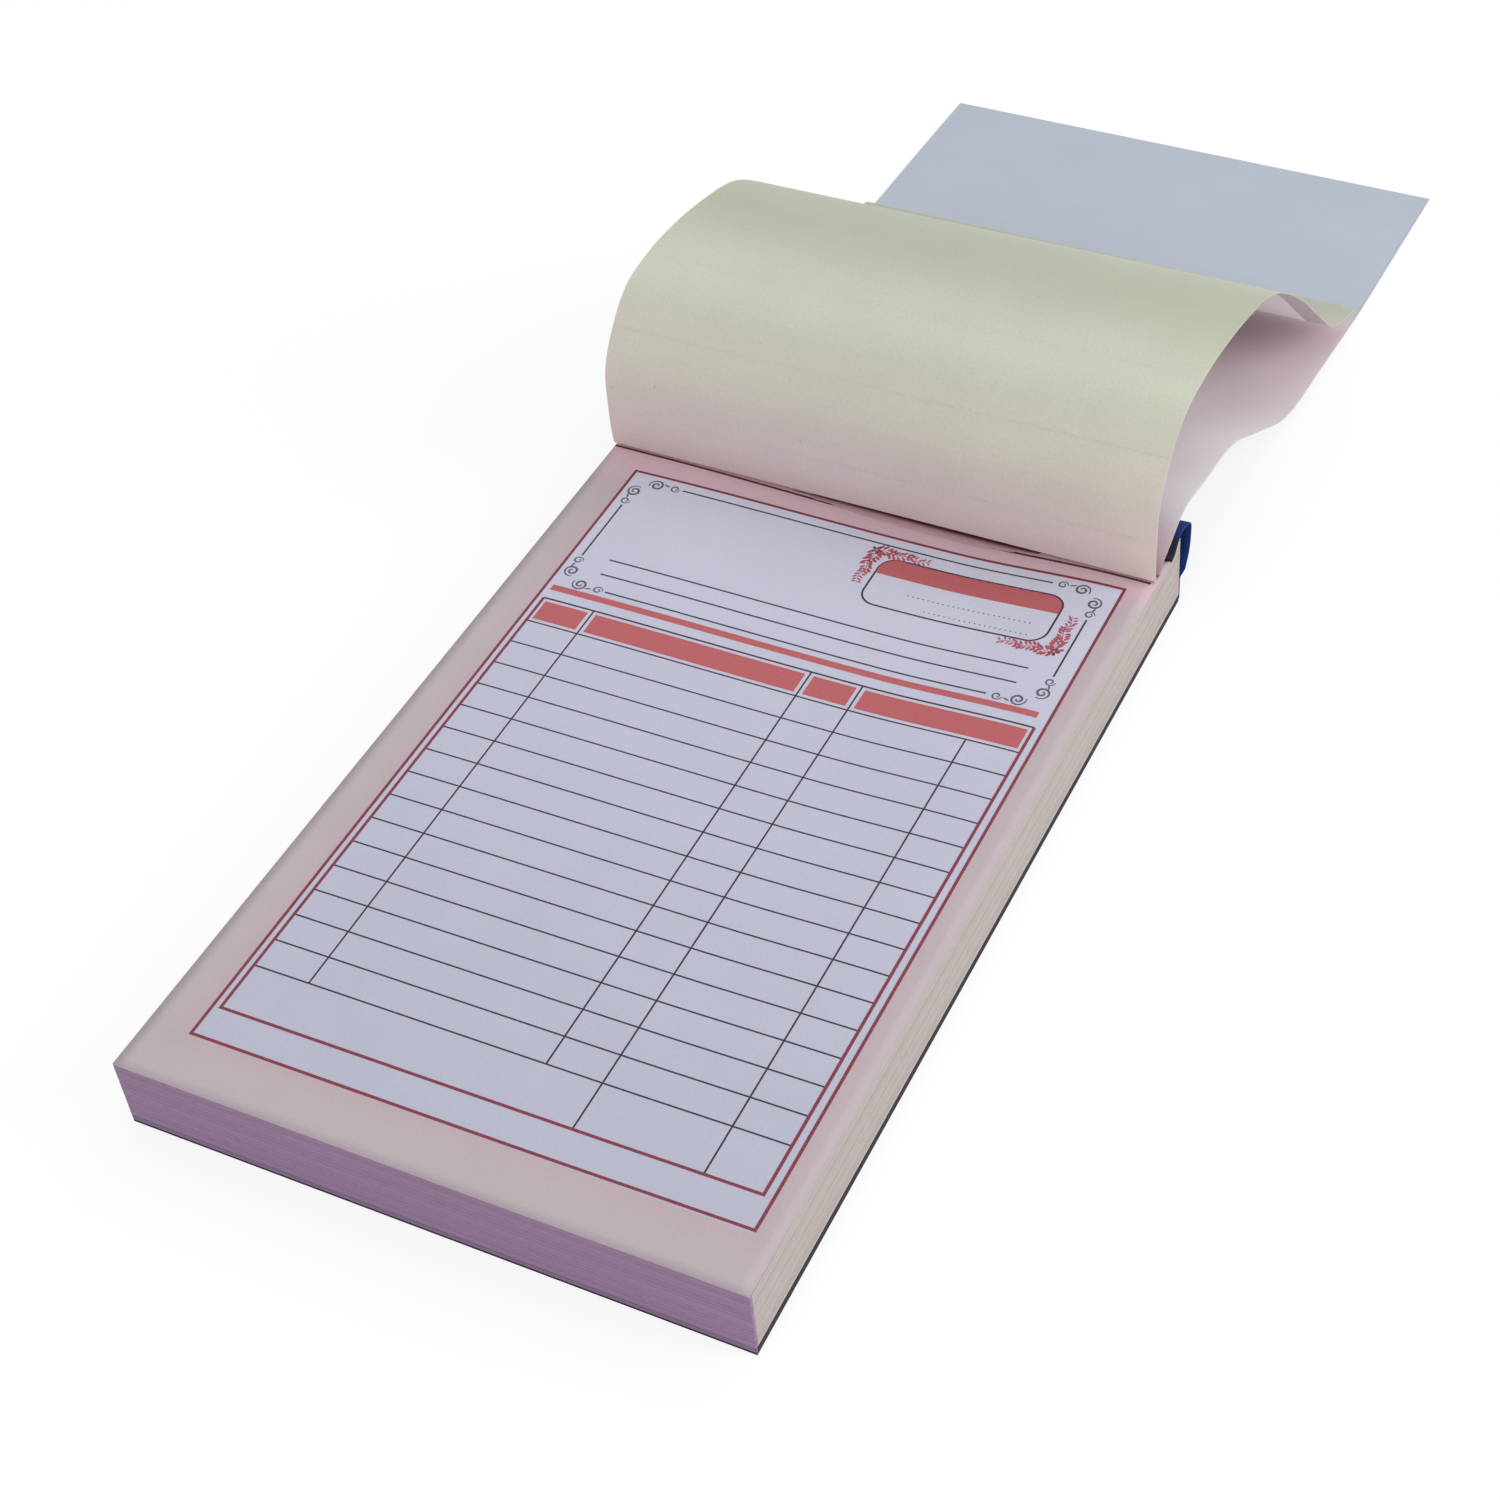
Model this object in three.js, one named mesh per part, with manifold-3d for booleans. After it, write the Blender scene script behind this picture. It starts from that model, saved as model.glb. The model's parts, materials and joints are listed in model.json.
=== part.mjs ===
// Cash receipt pad, bound along one short edge and lying open, in millimetres, +Z up.
// The origin is the middle of the back board's underside, and +Y points to the bound edge.
// The front cover and the used leaves are turned over the bound edge and lie on the table behind it,
// and one more leaf arches over on top of them. Each flexible sheet is a row of flat strips that
// bend at hinge lines between them, so that it can turn back and lie flat on the pad.
import * as THREE from "three";
import Module from "manifold-3d";
import { mergeVertices } from "three/addons/utils/BufferGeometryUtils.js";

// The pad
const PAD_WIDTH = 108;
const PAD_LENGTH = 172;
const BOARD_THICKNESS = 1.2;
const BACKING_SHEET_THICKNESS = 0.3;
const LEAF_THICKNESS = 0.1;
const LEAF_STACK_THICKNESS = 12.2;
const SECTION_COUNT = 19;
// Loose paper never lies quite tight: the air between two neighbours in the stack.
const SHEET_AIR = 0.02;

// The bound edge
const MARGIN_STACK_THICKNESS = 0.8;
const MARGIN_SETBACK = 0.3;
const WIRE = 0.6;
const STAPLE_CROWN = 12;
const STAPLE_FOOT = 4;
const STAPLE_SPACING = 52;
const STAPLE_FROM_EDGE = 5;
const STAPLE_CLEARANCE = 0.3;
const STAPLE_FLOOR_CLEARANCE = 0.1;
const TAPE_THICKNESS = 0.4;
const TAPE_COVER_ON_TOP = 7;
const TAPE_LIP_RUN = 1.4;
const TAPE_LIP_RISE = 0.45;
const TAPE_LOOP_HEIGHT = 3.6;
const TAPE_LOOP_BULGE = 1.9;
const TAPE_LOOP_STEPS = 21;
// The loop's two shoulders, as a share of its height, and its crest, as a share of what covers the pad.
const TAPE_SHOULDER = 0.7;
const TAPE_CREST = 0.9;
const TAPE_GLUED_BELOW = 6;
const TAPE_GLUE_GAP = 0.1;
const TAPE_FLOOR_CLEARANCE = 0.4;

// The turned sheets. The leaves are creased a little out of square, so they lie askew once turned.
const CREASE_SKEW_DEG = 1;
const TURNED_LEAF_THICKNESS = 0.2;
const FRONT_COVER_THICKNESS = 0.3;
const USED_LEAVES_THICKNESS = 0.5;
const LAYER_GAP = 0.3;
const LEAF_CREASE_FROM_EDGE = 11.4;
const BUNDLE_CREASE_FROM_EDGE = 10;
const LEAF_FREE_LENGTH = 153;
const BUNDLE_FREE_LENGTH = 157;
const LEAF_STRIP_GAP = 0.3;
const BUNDLE_STRIP_GAP = 0.5;
const TABLE_CLEARANCE = 0.3;

// A turned sheet seen from its right side is a run of arcs. Each has its share of the sheet's free length
// and the direction in which it ends (0 points back along the table, 90 straight up). A straight fall, as
// long as the height asks, joins the arcs over the top to the landing, and a flat tail follows. Flat strips
// stand for the sheet, and folds are the places where they meet, as shares of the free length.
const LEAF_BEND = {
  start: 101,
  over: [
    { share: 0.105, end: 84 },
    { share: 0.144, end: 7 },
    { share: 0.215, end: -13 },
    { share: 0.144, end: -45 },
  ],
  landing: [
    { share: 0.144, end: -3 },
  ],
  folds: [0.118, 0.222, 0.34, 0.497, 0.654, 0.824],
};
const BUNDLE_BEND = {
  start: 60,
  over: [
    { share: 0.051, end: 20 },
    { share: 0.051, end: 4 },
    { share: 0.127, end: -18 },
    { share: 0.115, end: -32 },
  ],
  landing: [
    { share: 0.191, end: 0 },
  ],
  folds: [0.076, 0.229, 0.446, 0.713],
};

// Heights worked out from the stack
const backingBottom = BOARD_THICKNESS + SHEET_AIR;
const leavesBottom = backingBottom + BACKING_SHEET_THICKNESS + SHEET_AIR;
const sectionPitch = LEAF_STACK_THICKNESS / SECTION_COUNT;
const duplicateBottom = leavesBottom + LEAF_STACK_THICKNESS;
const topLeafBottom = duplicateBottom + LEAF_THICKNESS + SHEET_AIR;
const padTop = topLeafBottom + LEAF_THICKNESS;
const marginBottom = padTop + SHEET_AIR;
const marginTop = marginBottom + MARGIN_STACK_THICKNESS;
const bundleThickness = FRONT_COVER_THICKNESS + LAYER_GAP + USED_LEAVES_THICKNESS;
const leafHingeHeight = padTop + LAYER_GAP + TURNED_LEAF_THICKNESS / 2;
const bundleHingeHeight = leafHingeHeight + TURNED_LEAF_THICKNESS / 2 + LAYER_GAP + bundleThickness / 2;
const bundleTableHeight = TABLE_CLEARANCE + bundleThickness / 2;
const leafTableHeight = bundleTableHeight + bundleThickness / 2 + 2 * LAYER_GAP + TURNED_LEAF_THICKNESS / 2;

const boundEdge = PAD_LENGTH / 2;
const skew = THREE.MathUtils.degToRad(CREASE_SKEW_DEG);
const skewSlope = Math.tan(skew);
const leafCreaseY = boundEdge - LEAF_CREASE_FROM_EDGE;
const bundleCreaseY = boundEdge - BUNDLE_CREASE_FROM_EDGE;
const stapleY = boundEdge - STAPLE_FROM_EDGE;
const stapleCentres = [-STAPLE_SPACING / 2, STAPLE_SPACING / 2];
const legOffset = (STAPLE_CROWN - WIRE) / 2;
const legCentres = stapleCentres.flatMap((x) => [x - legOffset, x + legOffset]);

function paint(color, roughness, metalness = 0) {
  return new THREE.MeshStandardMaterial({ color, roughness, metalness });
}

const materials = {
  board: paint(0x8c8b8e, 0.9),
  backingSheet: paint(0x2b2a33, 0.8),
  padLeaves: paint(0xcdbfcb, 0.85),
  pinkLeaf: paint(0xe3c3ca, 0.85),
  whiteLeaf: paint(0xe6dfe6, 0.8),
  turnedLeaf: paint(0xd3d0bb, 0.85),
  usedLeaves: paint(0xc3c7d6, 0.85),
  coverCard: paint(0xaab2c6, 0.8),
  clothTape: paint(0x123f8a, 0.75),
  wire: paint(0xb9bcc2, 0.35, 0.9),
};

const assembly = new THREE.Group();
assembly.name = "cash_receipt_pad";

function addPiece(name, geometry, material, parent = assembly) {
  const mesh = new THREE.Mesh(geometry, material);
  mesh.name = name;
  parent.add(mesh);
  return mesh;
}

function numbered(stem, index) {
  return `${stem}_${String(index + 1).padStart(2, "0")}`;
}

// Outlines of flat pieces

function outline(points) {
  return new THREE.Shape(points.map(([x, y]) => new THREE.Vector2(x, y)));
}

function plate(shape, thickness) {
  return new THREE.ExtrudeGeometry(shape, { depth: thickness, bevelEnabled: false });
}

const padOutline = outline([
  [-PAD_WIDTH / 2, -PAD_LENGTH / 2],
  [PAD_WIDTH / 2, -PAD_LENGTH / 2],
  [PAD_WIDTH / 2, boundEdge],
  [-PAD_WIDTH / 2, boundEdge],
]);

// Solid cuts

const manifold = await Module();
manifold.setup();

function toSolid(geometry) {
  const bare = geometry.clone();
  bare.deleteAttribute("normal");
  bare.deleteAttribute("uv");
  const merged = mergeVertices(bare, 1e-4);
  return new manifold.Manifold(new manifold.Mesh({
    numProp: 3,
    vertProperties: merged.attributes.position.array,
    triVerts: new Uint32Array(merged.index.array),
  }));
}

function toGeometry(solid) {
  const mesh = solid.getMesh();
  const geometry = new THREE.BufferGeometry();
  geometry.setAttribute("position", new THREE.BufferAttribute(mesh.vertProperties, 3));
  geometry.setIndex(new THREE.BufferAttribute(mesh.triVerts, 1));
  return geometry;
}

function box(x0, y0, z0, x1, y1, z1) {
  const geometry = new THREE.BoxGeometry(x1 - x0, y1 - y0, z1 - z0);
  return geometry.translate((x0 + x1) / 2, (y0 + y1) / 2, (z0 + z1) / 2);
}

const legHoleSide = WIRE + 2 * STAPLE_CLEARANCE;

// A sheet of one thickness with the four holes that the staples' legs go through
function punchedSheet(shape, thickness) {
  let sheet = toSolid(plate(shape, thickness));
  for (const x of legCentres) {
    const hole = box(
      x - legHoleSide / 2, stapleY - legHoleSide / 2, -thickness,
      x + legHoleSide / 2, stapleY + legHoleSide / 2, 2 * thickness,
    );
    sheet = sheet.subtract(toSolid(hole));
  }
  return sheet;
}

// The back board, with the leg holes and the pockets that the clenched feet press into its underside
function addBackBoard() {
  let board = punchedSheet(padOutline, BOARD_THICKNESS);
  const pocketDepth = STAPLE_FLOOR_CLEARANCE + WIRE + STAPLE_CLEARANCE / 2;
  for (const x of stapleCentres) {
    for (const side of [-1, 1]) {
      const outer = x + side * (STAPLE_CROWN / 2 + STAPLE_CLEARANCE);
      const inner = x + side * (STAPLE_CROWN / 2 - STAPLE_FOOT - STAPLE_CLEARANCE);
      const pocket = box(
        Math.min(outer, inner), stapleY - legHoleSide / 2, -pocketDepth,
        Math.max(outer, inner), stapleY + legHoleSide / 2, pocketDepth,
      );
      board = board.subtract(toSolid(pocket));
    }
  }
  addPiece("back_board", toGeometry(board), materials.board);
}

function addLeaves() {
  const backingGeometry = toGeometry(punchedSheet(padOutline, BACKING_SHEET_THICKNESS));
  const backing = addPiece("backing_sheet", backingGeometry, materials.backingSheet);
  backing.position.z = backingBottom;
  const sectionGeometry = toGeometry(punchedSheet(padOutline, sectionPitch - SHEET_AIR));
  for (let i = 0; i < SECTION_COUNT; i++) {
    const section = addPiece(numbered("leaf_section", i), sectionGeometry, materials.padLeaves);
    section.position.z = leavesBottom + i * sectionPitch;
  }
  const leafGeometry = toGeometry(punchedSheet(padOutline, LEAF_THICKNESS));
  const duplicate = addPiece("duplicate_leaf", leafGeometry, materials.pinkLeaf);
  duplicate.position.z = duplicateBottom;
  const top = addPiece("top_leaf", leafGeometry, materials.whiteLeaf);
  top.position.z = topLeafBottom;
}

// The bound strip that the turned leaves and the cover leave on the pad, its front edge along their crease
function addBoundMargin() {
  const frontEdge = (x) => bundleCreaseY + MARGIN_SETBACK - x * skewSlope;
  const half = PAD_WIDTH / 2;
  const shape = outline([[-half, frontEdge(-half)], [half, frontEdge(half)], [half, boundEdge], [-half, boundEdge]]);
  const geometry = toGeometry(punchedSheet(shape, MARGIN_STACK_THICKNESS));
  const margin = addPiece("bound_margin", geometry, materials.usedLeaves);
  margin.position.z = marginBottom;
}

// Two flat-wire staples: crown on the bound strip, legs through the pad, feet clenched into the board
function addStaples() {
  const bottom = STAPLE_FLOOR_CLEARANCE;
  const crownTop = marginTop + SHEET_AIR + WIRE;
  const outerHalf = STAPLE_CROWN / 2;
  const innerHalf = outerHalf - WIRE;
  const footEnd = outerHalf - STAPLE_FOOT;
  const shape = outline([
    [-outerHalf, bottom], [-footEnd, bottom], [-footEnd, bottom + WIRE], [-innerHalf, bottom + WIRE],
    [-innerHalf, crownTop - WIRE], [innerHalf, crownTop - WIRE],
    [innerHalf, bottom + WIRE], [footEnd, bottom + WIRE], [footEnd, bottom], [outerHalf, bottom],
    [outerHalf, crownTop], [-outerHalf, crownTop],
  ]);
  const names = ["staple_left", "staple_right"];
  stapleCentres.forEach((x, i) => {
    const staple = addPiece(names[i], plate(shape, WIRE), materials.wire);
    staple.rotation.x = Math.PI / 2;
    staple.position.set(x, stapleY + WIRE / 2, 0);
  });
}

// The cloth tape stands up in a loose loop over the bound edge and is glued down the pad's back face
function addSpineTape() {
  const glued = boundEdge + TAPE_GLUE_GAP + TAPE_THICKNESS / 2;
  const lipHeight = marginTop + TAPE_GLUE_GAP + TAPE_THICKNESS / 2;
  const loopTop = marginTop + TAPE_LOOP_HEIGHT - TAPE_THICKNESS / 2;
  const loopBack = boundEdge + TAPE_LOOP_BULGE;
  const frontLip = boundEdge - TAPE_COVER_ON_TOP;
  const shoulder = TAPE_SHOULDER * TAPE_LOOP_HEIGHT;
  const gluedTop = padTop - TAPE_GLUED_BELOW;
  const centreLine = new THREE.CatmullRomCurve3([
    new THREE.Vector3(frontLip, lipHeight, 0),
    new THREE.Vector3(frontLip + TAPE_LIP_RUN, lipHeight + TAPE_LIP_RISE, 0),
    new THREE.Vector3(boundEdge - TAPE_COVER_ON_TOP / 2, lipHeight + shoulder, 0),
    new THREE.Vector3(frontLip + TAPE_CREST * TAPE_COVER_ON_TOP, loopTop, 0),
    new THREE.Vector3(loopBack - TAPE_THICKNESS, padTop + shoulder, 0),
    new THREE.Vector3(loopBack, padTop, 0),
    new THREE.Vector3((loopBack + glued) / 2, (padTop + gluedTop) / 2, 0),
    new THREE.Vector3(glued, gluedTop, 0),
  ], false, "centripetal");
  const spine = centreLine.getPoints(TAPE_LOOP_STEPS);
  spine.push(new THREE.Vector3(glued, TAPE_FLOOR_CLEARANCE, 0));
  const shape = outline(ribbonOutline(spine, TAPE_THICKNESS));
  const tape = addPiece("spine_tape", plate(shape, PAD_WIDTH), materials.clothTape);
  // A third of a turn about the diagonal takes the drawing's axes to the pad's Y, Z and X.
  tape.quaternion.setFromAxisAngle(new THREE.Vector3(1, 1, 1).normalize(), (2 * Math.PI) / 3);
  tape.position.x = -PAD_WIDTH / 2;
}

// A band of one thickness along a run of points, as a closed outline
function ribbonOutline(points, thickness) {
  const sides = points.map((point, i) => {
    const before = points[Math.max(i - 1, 0)];
    const after = points[Math.min(i + 1, points.length - 1)];
    const direction = after.clone().sub(before).normalize();
    const reach = thickness / 2;
    return [
      [point.x - direction.y * reach, point.y + direction.x * reach],
      [point.x + direction.y * reach, point.y - direction.x * reach],
    ];
  });
  return [...sides.map((pair) => pair[1]), ...sides.map((pair) => pair[0]).reverse()];
}

// Turned sheets

function radians(degrees) {
  return THREE.MathUtils.degToRad(degrees);
}

// Where a run of sheet ends that starts at a point and turns evenly from one direction to another
function runEnd(point, run, from, to) {
  const half = radians(to - from) / 2;
  const chord = half === 0 ? run : (run * Math.sin(half)) / half;
  const direction = radians(from) + half;
  return new THREE.Vector2(point.x + chord * Math.cos(direction), point.y + chord * Math.sin(direction));
}

function totalRun(arcs) {
  return arcs.reduce((sum, arc) => sum + arc.run, 0);
}

function rise(arcs) {
  return arcs.reduce((point, arc) => runEnd(point, arc.run, arc.from, arc.to), new THREE.Vector2()).y;
}

// A list of shares and end directions as arcs with real runs
function realArcs(start, list, freeLength) {
  return list.map((arc, i) => ({
    run: arc.share * freeLength,
    from: i === 0 ? start : list[i - 1].end,
    to: arc.end,
  }));
}

// All arcs of a sheet that starts at one height and comes down to another
function arcsOf(bend, freeLength, startHeight, endHeight) {
  const fallDirection = bend.over.at(-1).end;
  const tailDirection = bend.landing.at(-1).end;
  const over = realArcs(bend.start, bend.over, freeLength);
  const landing = realArcs(fallDirection, bend.landing, freeLength);
  const straight = freeLength - totalRun(over) - totalRun(landing);
  const fallSine = Math.sin(radians(-fallDirection));
  const tailSine = Math.sin(radians(-tailDirection));
  const drop = startHeight + rise(over) + rise(landing) - endHeight;
  const fallRun = (drop - tailSine * straight) / (fallSine - tailSine);
  return [
    ...over,
    { run: fallRun, from: fallDirection, to: fallDirection },
    ...landing,
    { run: straight - fallRun, from: tailDirection, to: tailDirection },
  ];
}

// The point of a bent sheet at a distance from its hinge line
function pointAt(arcs, distance) {
  let point = new THREE.Vector2();
  let left = distance;
  for (const arc of arcs) {
    const run = Math.min(left, arc.run);
    point = runEnd(point, run, arc.from, arc.from + ((arc.to - arc.from) * run) / arc.run);
    left -= run;
  }
  return point;
}

// The flat strips between a sheet's folds: each one's length and its direction in radians
function stripsOf(bend, freeLength, startHeight, endHeight) {
  const arcs = arcsOf(bend, freeLength, startHeight, endHeight);
  const corners = [0, ...bend.folds, 1].map((share) => pointAt(arcs, share * freeLength));
  return corners.slice(1).map((corner, i) => {
    const strip = corner.clone().sub(corners[i]);
    return { length: strip.length(), direction: Math.atan2(strip.y, strip.x) };
  });
}

// Adds one layer of a turned sheet: strips side by side along the bend, each a parallelogram because the
// sheet's sides run square to the pad's front edge, not to the crease. offset and thickness are measured
// across the sheet from its hinge lines, on the side that faces up once the sheet lies on the table.
function addTurnedLayer(stem, strips, crease, layer) {
  const group = new THREE.Group();
  group.position.set(0, crease.y, crease.z);
  group.rotation.z = -skew;
  assembly.add(group);
  const half = PAD_WIDTH / 2 / Math.cos(skew);
  const hinge = new THREE.Vector2(0, 0);
  let along = 0;
  strips.forEach(({ length, direction }, i) => {
    const last = i === strips.length - 1;
    const near = layer.gap / 2;
    const far = last ? length : length - layer.gap / 2;
    const drift = (reach) => (along + reach) * skewSlope;
    const endSlant = last ? half * skewSlope : 0;
    const shape = outline([
      [-half + drift(near), near],
      [half + drift(near), near],
      [half + drift(far), far - endSlant],
      [-half + drift(far), far + endSlant],
    ]);
    const geometry = plate(shape, layer.thickness).translate(0, 0, layer.offset);
    const strip = addPiece(numbered(stem, i), geometry, layer.material, group);
    strip.position.set(0, hinge.x, hinge.y);
    strip.rotation.x = direction;
    hinge.x += length * Math.cos(direction);
    hinge.y += length * Math.sin(direction);
    along += length;
  });
}

function addTurnedLeaf() {
  const strips = stripsOf(LEAF_BEND, LEAF_FREE_LENGTH, leafHingeHeight, leafTableHeight);
  addTurnedLayer("turned_leaf", strips, { y: leafCreaseY, z: leafHingeHeight }, {
    thickness: TURNED_LEAF_THICKNESS,
    offset: -TURNED_LEAF_THICKNESS / 2,
    gap: LEAF_STRIP_GAP,
    material: materials.turnedLeaf,
  });
}

function addTurnedBundle() {
  const strips = stripsOf(BUNDLE_BEND, BUNDLE_FREE_LENGTH, bundleHingeHeight, bundleTableHeight);
  const crease = { y: bundleCreaseY, z: bundleHingeHeight };
  addTurnedLayer("front_cover", strips, crease, {
    thickness: FRONT_COVER_THICKNESS,
    offset: -bundleThickness / 2,
    gap: BUNDLE_STRIP_GAP,
    material: materials.coverCard,
  });
  addTurnedLayer("used_leaves", strips, crease, {
    thickness: USED_LEAVES_THICKNESS,
    offset: bundleThickness / 2 - USED_LEAVES_THICKNESS,
    gap: BUNDLE_STRIP_GAP,
    material: materials.usedLeaves,
  });
}

addBackBoard();
addLeaves();
addBoundMargin();
addStaples();
addSpineTape();
addTurnedLeaf();
addTurnedBundle();

export default assembly;
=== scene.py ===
"""A small receipt pad lying open at its ruled top leaf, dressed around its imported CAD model.

Sizes are in millimetres and in the part's own frame: X runs across the pad, Y towards the bound edge
and Z up from the underside of the back board. A finished mesh is scaled to metres once, by finish_mesh.
"""

import json
import logging
import math
import random
from bisect import bisect_right
from dataclasses import dataclass, field
from enum import Enum
from typing import Callable, Optional, Sequence, Union

import bmesh
import bpy
from mathutils import Matrix, Vector
from mathutils.geometry import interpolate_bezier


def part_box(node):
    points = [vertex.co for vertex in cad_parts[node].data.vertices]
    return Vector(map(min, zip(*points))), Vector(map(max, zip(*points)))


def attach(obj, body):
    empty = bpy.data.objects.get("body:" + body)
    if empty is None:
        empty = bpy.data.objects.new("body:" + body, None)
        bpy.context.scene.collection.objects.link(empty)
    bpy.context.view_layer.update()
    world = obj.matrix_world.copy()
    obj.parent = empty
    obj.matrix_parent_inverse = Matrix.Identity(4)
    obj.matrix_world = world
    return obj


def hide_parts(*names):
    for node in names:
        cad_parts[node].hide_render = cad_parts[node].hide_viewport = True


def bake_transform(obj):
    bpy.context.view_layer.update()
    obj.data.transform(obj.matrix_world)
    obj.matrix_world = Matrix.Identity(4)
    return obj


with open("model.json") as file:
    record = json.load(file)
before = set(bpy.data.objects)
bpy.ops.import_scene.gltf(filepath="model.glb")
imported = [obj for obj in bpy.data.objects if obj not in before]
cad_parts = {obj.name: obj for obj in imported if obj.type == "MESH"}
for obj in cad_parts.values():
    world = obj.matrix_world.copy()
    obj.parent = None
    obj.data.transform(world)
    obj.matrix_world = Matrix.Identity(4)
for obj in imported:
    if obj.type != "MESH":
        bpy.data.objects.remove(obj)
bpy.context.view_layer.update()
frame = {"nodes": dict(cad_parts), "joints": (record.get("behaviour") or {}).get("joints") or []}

MM = 0.001
MERGE_DISTANCE = 1e-5
LOG = logging.getLogger("receipt_pad")

Colour = tuple[float, float, float]
Place = Callable[[Vector], Vector]


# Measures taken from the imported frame


def node_box(name: str) -> tuple[Vector, Vector]:
    """Return a CAD node's lowest and highest corner in millimetres."""
    low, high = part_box(name)
    return Vector(low) / MM, Vector(high) / MM


def numbered(stem: str, first: int, last: int) -> tuple[str, ...]:
    """Return the names stem_01, stem_02 and so on between two numbers."""
    return tuple(f"{stem}_{i:02d}" for i in range(first, last + 1))


def clipped(value: float) -> float:
    """Return a value clipped to the range from 0 to 1."""
    return min(max(value, 0.0), 1.0)


def smooth_step(value: float) -> float:
    """Return the smooth step from 0 to 1 of a value clipped to that range."""
    share = clipped(value)
    return share * share * (3 - 2 * share)


def srgb(code: str) -> Colour:
    """Return a display colour such as "c0b4a8" as linear values.

    Args:
        code: Six hexadecimal digits, red first.

    Returns:
        The linear red, green and blue.
    """
    channels = (int(code[i : i + 2], 16) / 255 for i in (0, 2, 4))
    return tuple(c / 12.92 if c <= 0.04045 else ((c + 0.055) / 1.055) ** 2.4 for c in channels)


@dataclass(frozen=True)
class PadSize:
    """The pad's block as the frame gives it."""

    half_width: float
    front: float
    bound_edge: float
    top: float

    @classmethod
    def from_frame(cls) -> "PadSize":
        """Read the pad's size off the top leaf."""
        low, high = node_box("top_leaf")
        return cls(half_width=high.x, front=low.y, bound_edge=high.y, top=high.z)

    @property
    def length(self) -> float:
        """Return the leaf's length from front edge to bound edge."""
        return self.bound_edge - self.front


PAD = PadSize.from_frame()


@dataclass(frozen=True)
class Sag:
    """How the stack of leaves dips in a shallow valley that runs out from the binding."""

    valley_x: float = 18.5
    left_reach: float = 62.0
    right_reach: float = 29.0
    depth: float = 1.2
    side_lift: float = -0.3
    full_at: float = 70.0
    bound_flat_from: float = 75.5
    bound_flat_over: float = 4.5

    def height(self, x: float, y: float) -> float:
        """Return how far the top of the stack lies above its flat height.

        Args:
            x: Place across the pad.
            y: Place along the pad.

        Returns:
            The height, below 0 in the valley.
        """
        reach = self.left_reach if x < self.valley_x else self.right_reach
        side = smooth_step(abs(x - self.valley_x) / reach)
        growth = max(y - PAD.front, 0.0) / (self.full_at - PAD.front)
        pinched = 1 - smooth_step((y - self.bound_flat_from) / self.bound_flat_over)
        return growth * pinched * (self.side_lift - self.depth * (1 - side))


SAG = Sag()


# Meshes


def finish_mesh(bm: bmesh.types.BMesh, name: str,
                materials: Sequence[bpy.types.Material]) -> bpy.types.Object:
    """Scale a millimetre mesh to metres and link it as an object at the origin.

    Args:
        bm: The mesh, which is freed.
        name: The object's name.
        materials: Its materials, in slot order.

    Returns:
        The new object.
    """
    bmesh.ops.scale(bm, vec=(MM, MM, MM), verts=bm.verts)
    mesh = bpy.data.meshes.new(name)
    bm.to_mesh(mesh)
    bm.free()
    for material in materials:
        mesh.materials.append(material)
    made = bpy.data.objects.new(name, mesh)
    bpy.context.scene.collection.objects.link(made)
    return made


def map_vertices(bm: bmesh.types.BMesh, place: Place) -> None:
    """Move every vertex to where a mapping puts it."""
    for vert in bm.verts:
        vert.co = place(vert.co)


def cut(bm: bmesh.types.BMesh, point: Vector, normal: Vector, drop: bool) -> None:
    """Cut a mesh along a plane.

    Args:
        bm: The mesh.
        point: A point of the plane.
        normal: The plane's normal.
        drop: Whether the part that the normal points to is dropped.
    """
    bmesh.ops.bisect_plane(
        bm, geom=[*bm.verts, *bm.edges, *bm.faces], dist=MERGE_DISTANCE,
        plane_co=point, plane_no=normal, clear_outer=drop, clear_inner=False,
    )


def score(bm: bmesh.types.BMesh, normal: Vector, low: float, high: float, step: float) -> None:
    """Cut a flat mesh at even steps, so that it can bend between them.

    Args:
        bm: The mesh.
        normal: The direction that the steps run in.
        low: Where the first step is, along the normal.
        high: Where the steps end.
        step: The distance between two cuts.
    """
    for i in range(1, math.ceil((high - low) / step)):
        cut(bm, normal * (low + i * step), normal, drop=False)


def raise_faces(bm: bmesh.types.BMesh, faces: Sequence[bmesh.types.BMFace], thickness: float) -> None:
    """Extrude some flat faces upwards.

    Args:
        bm: The mesh.
        faces: The faces.
        thickness: How far they rise.
    """
    raised = bmesh.ops.extrude_face_region(bm, geom=faces)["geom"]
    verts = [item for item in raised if isinstance(item, bmesh.types.BMVert)]
    bmesh.ops.translate(bm, vec=(0, 0, thickness), verts=verts)


def add_thickness(bm: bmesh.types.BMesh, low: float, high: float) -> None:
    """Turn a flat mesh at height 0 into a closed slab.

    Args:
        bm: The mesh.
        low: The height of the slab's underside.
        high: The height of its top.
    """
    bmesh.ops.translate(bm, vec=(0, 0, low), verts=bm.verts)
    raise_faces(bm, bm.faces[:], high - low)
    bmesh.ops.recalc_face_normals(bm, faces=bm.faces[:])


def smooth_flats(bm: bmesh.types.BMesh) -> None:
    """Shade a slab's two broad sides smooth, and leave its cut edges crisp."""
    for face in bm.faces:
        face.smooth = abs(face.normal.z) > 0.5


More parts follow.
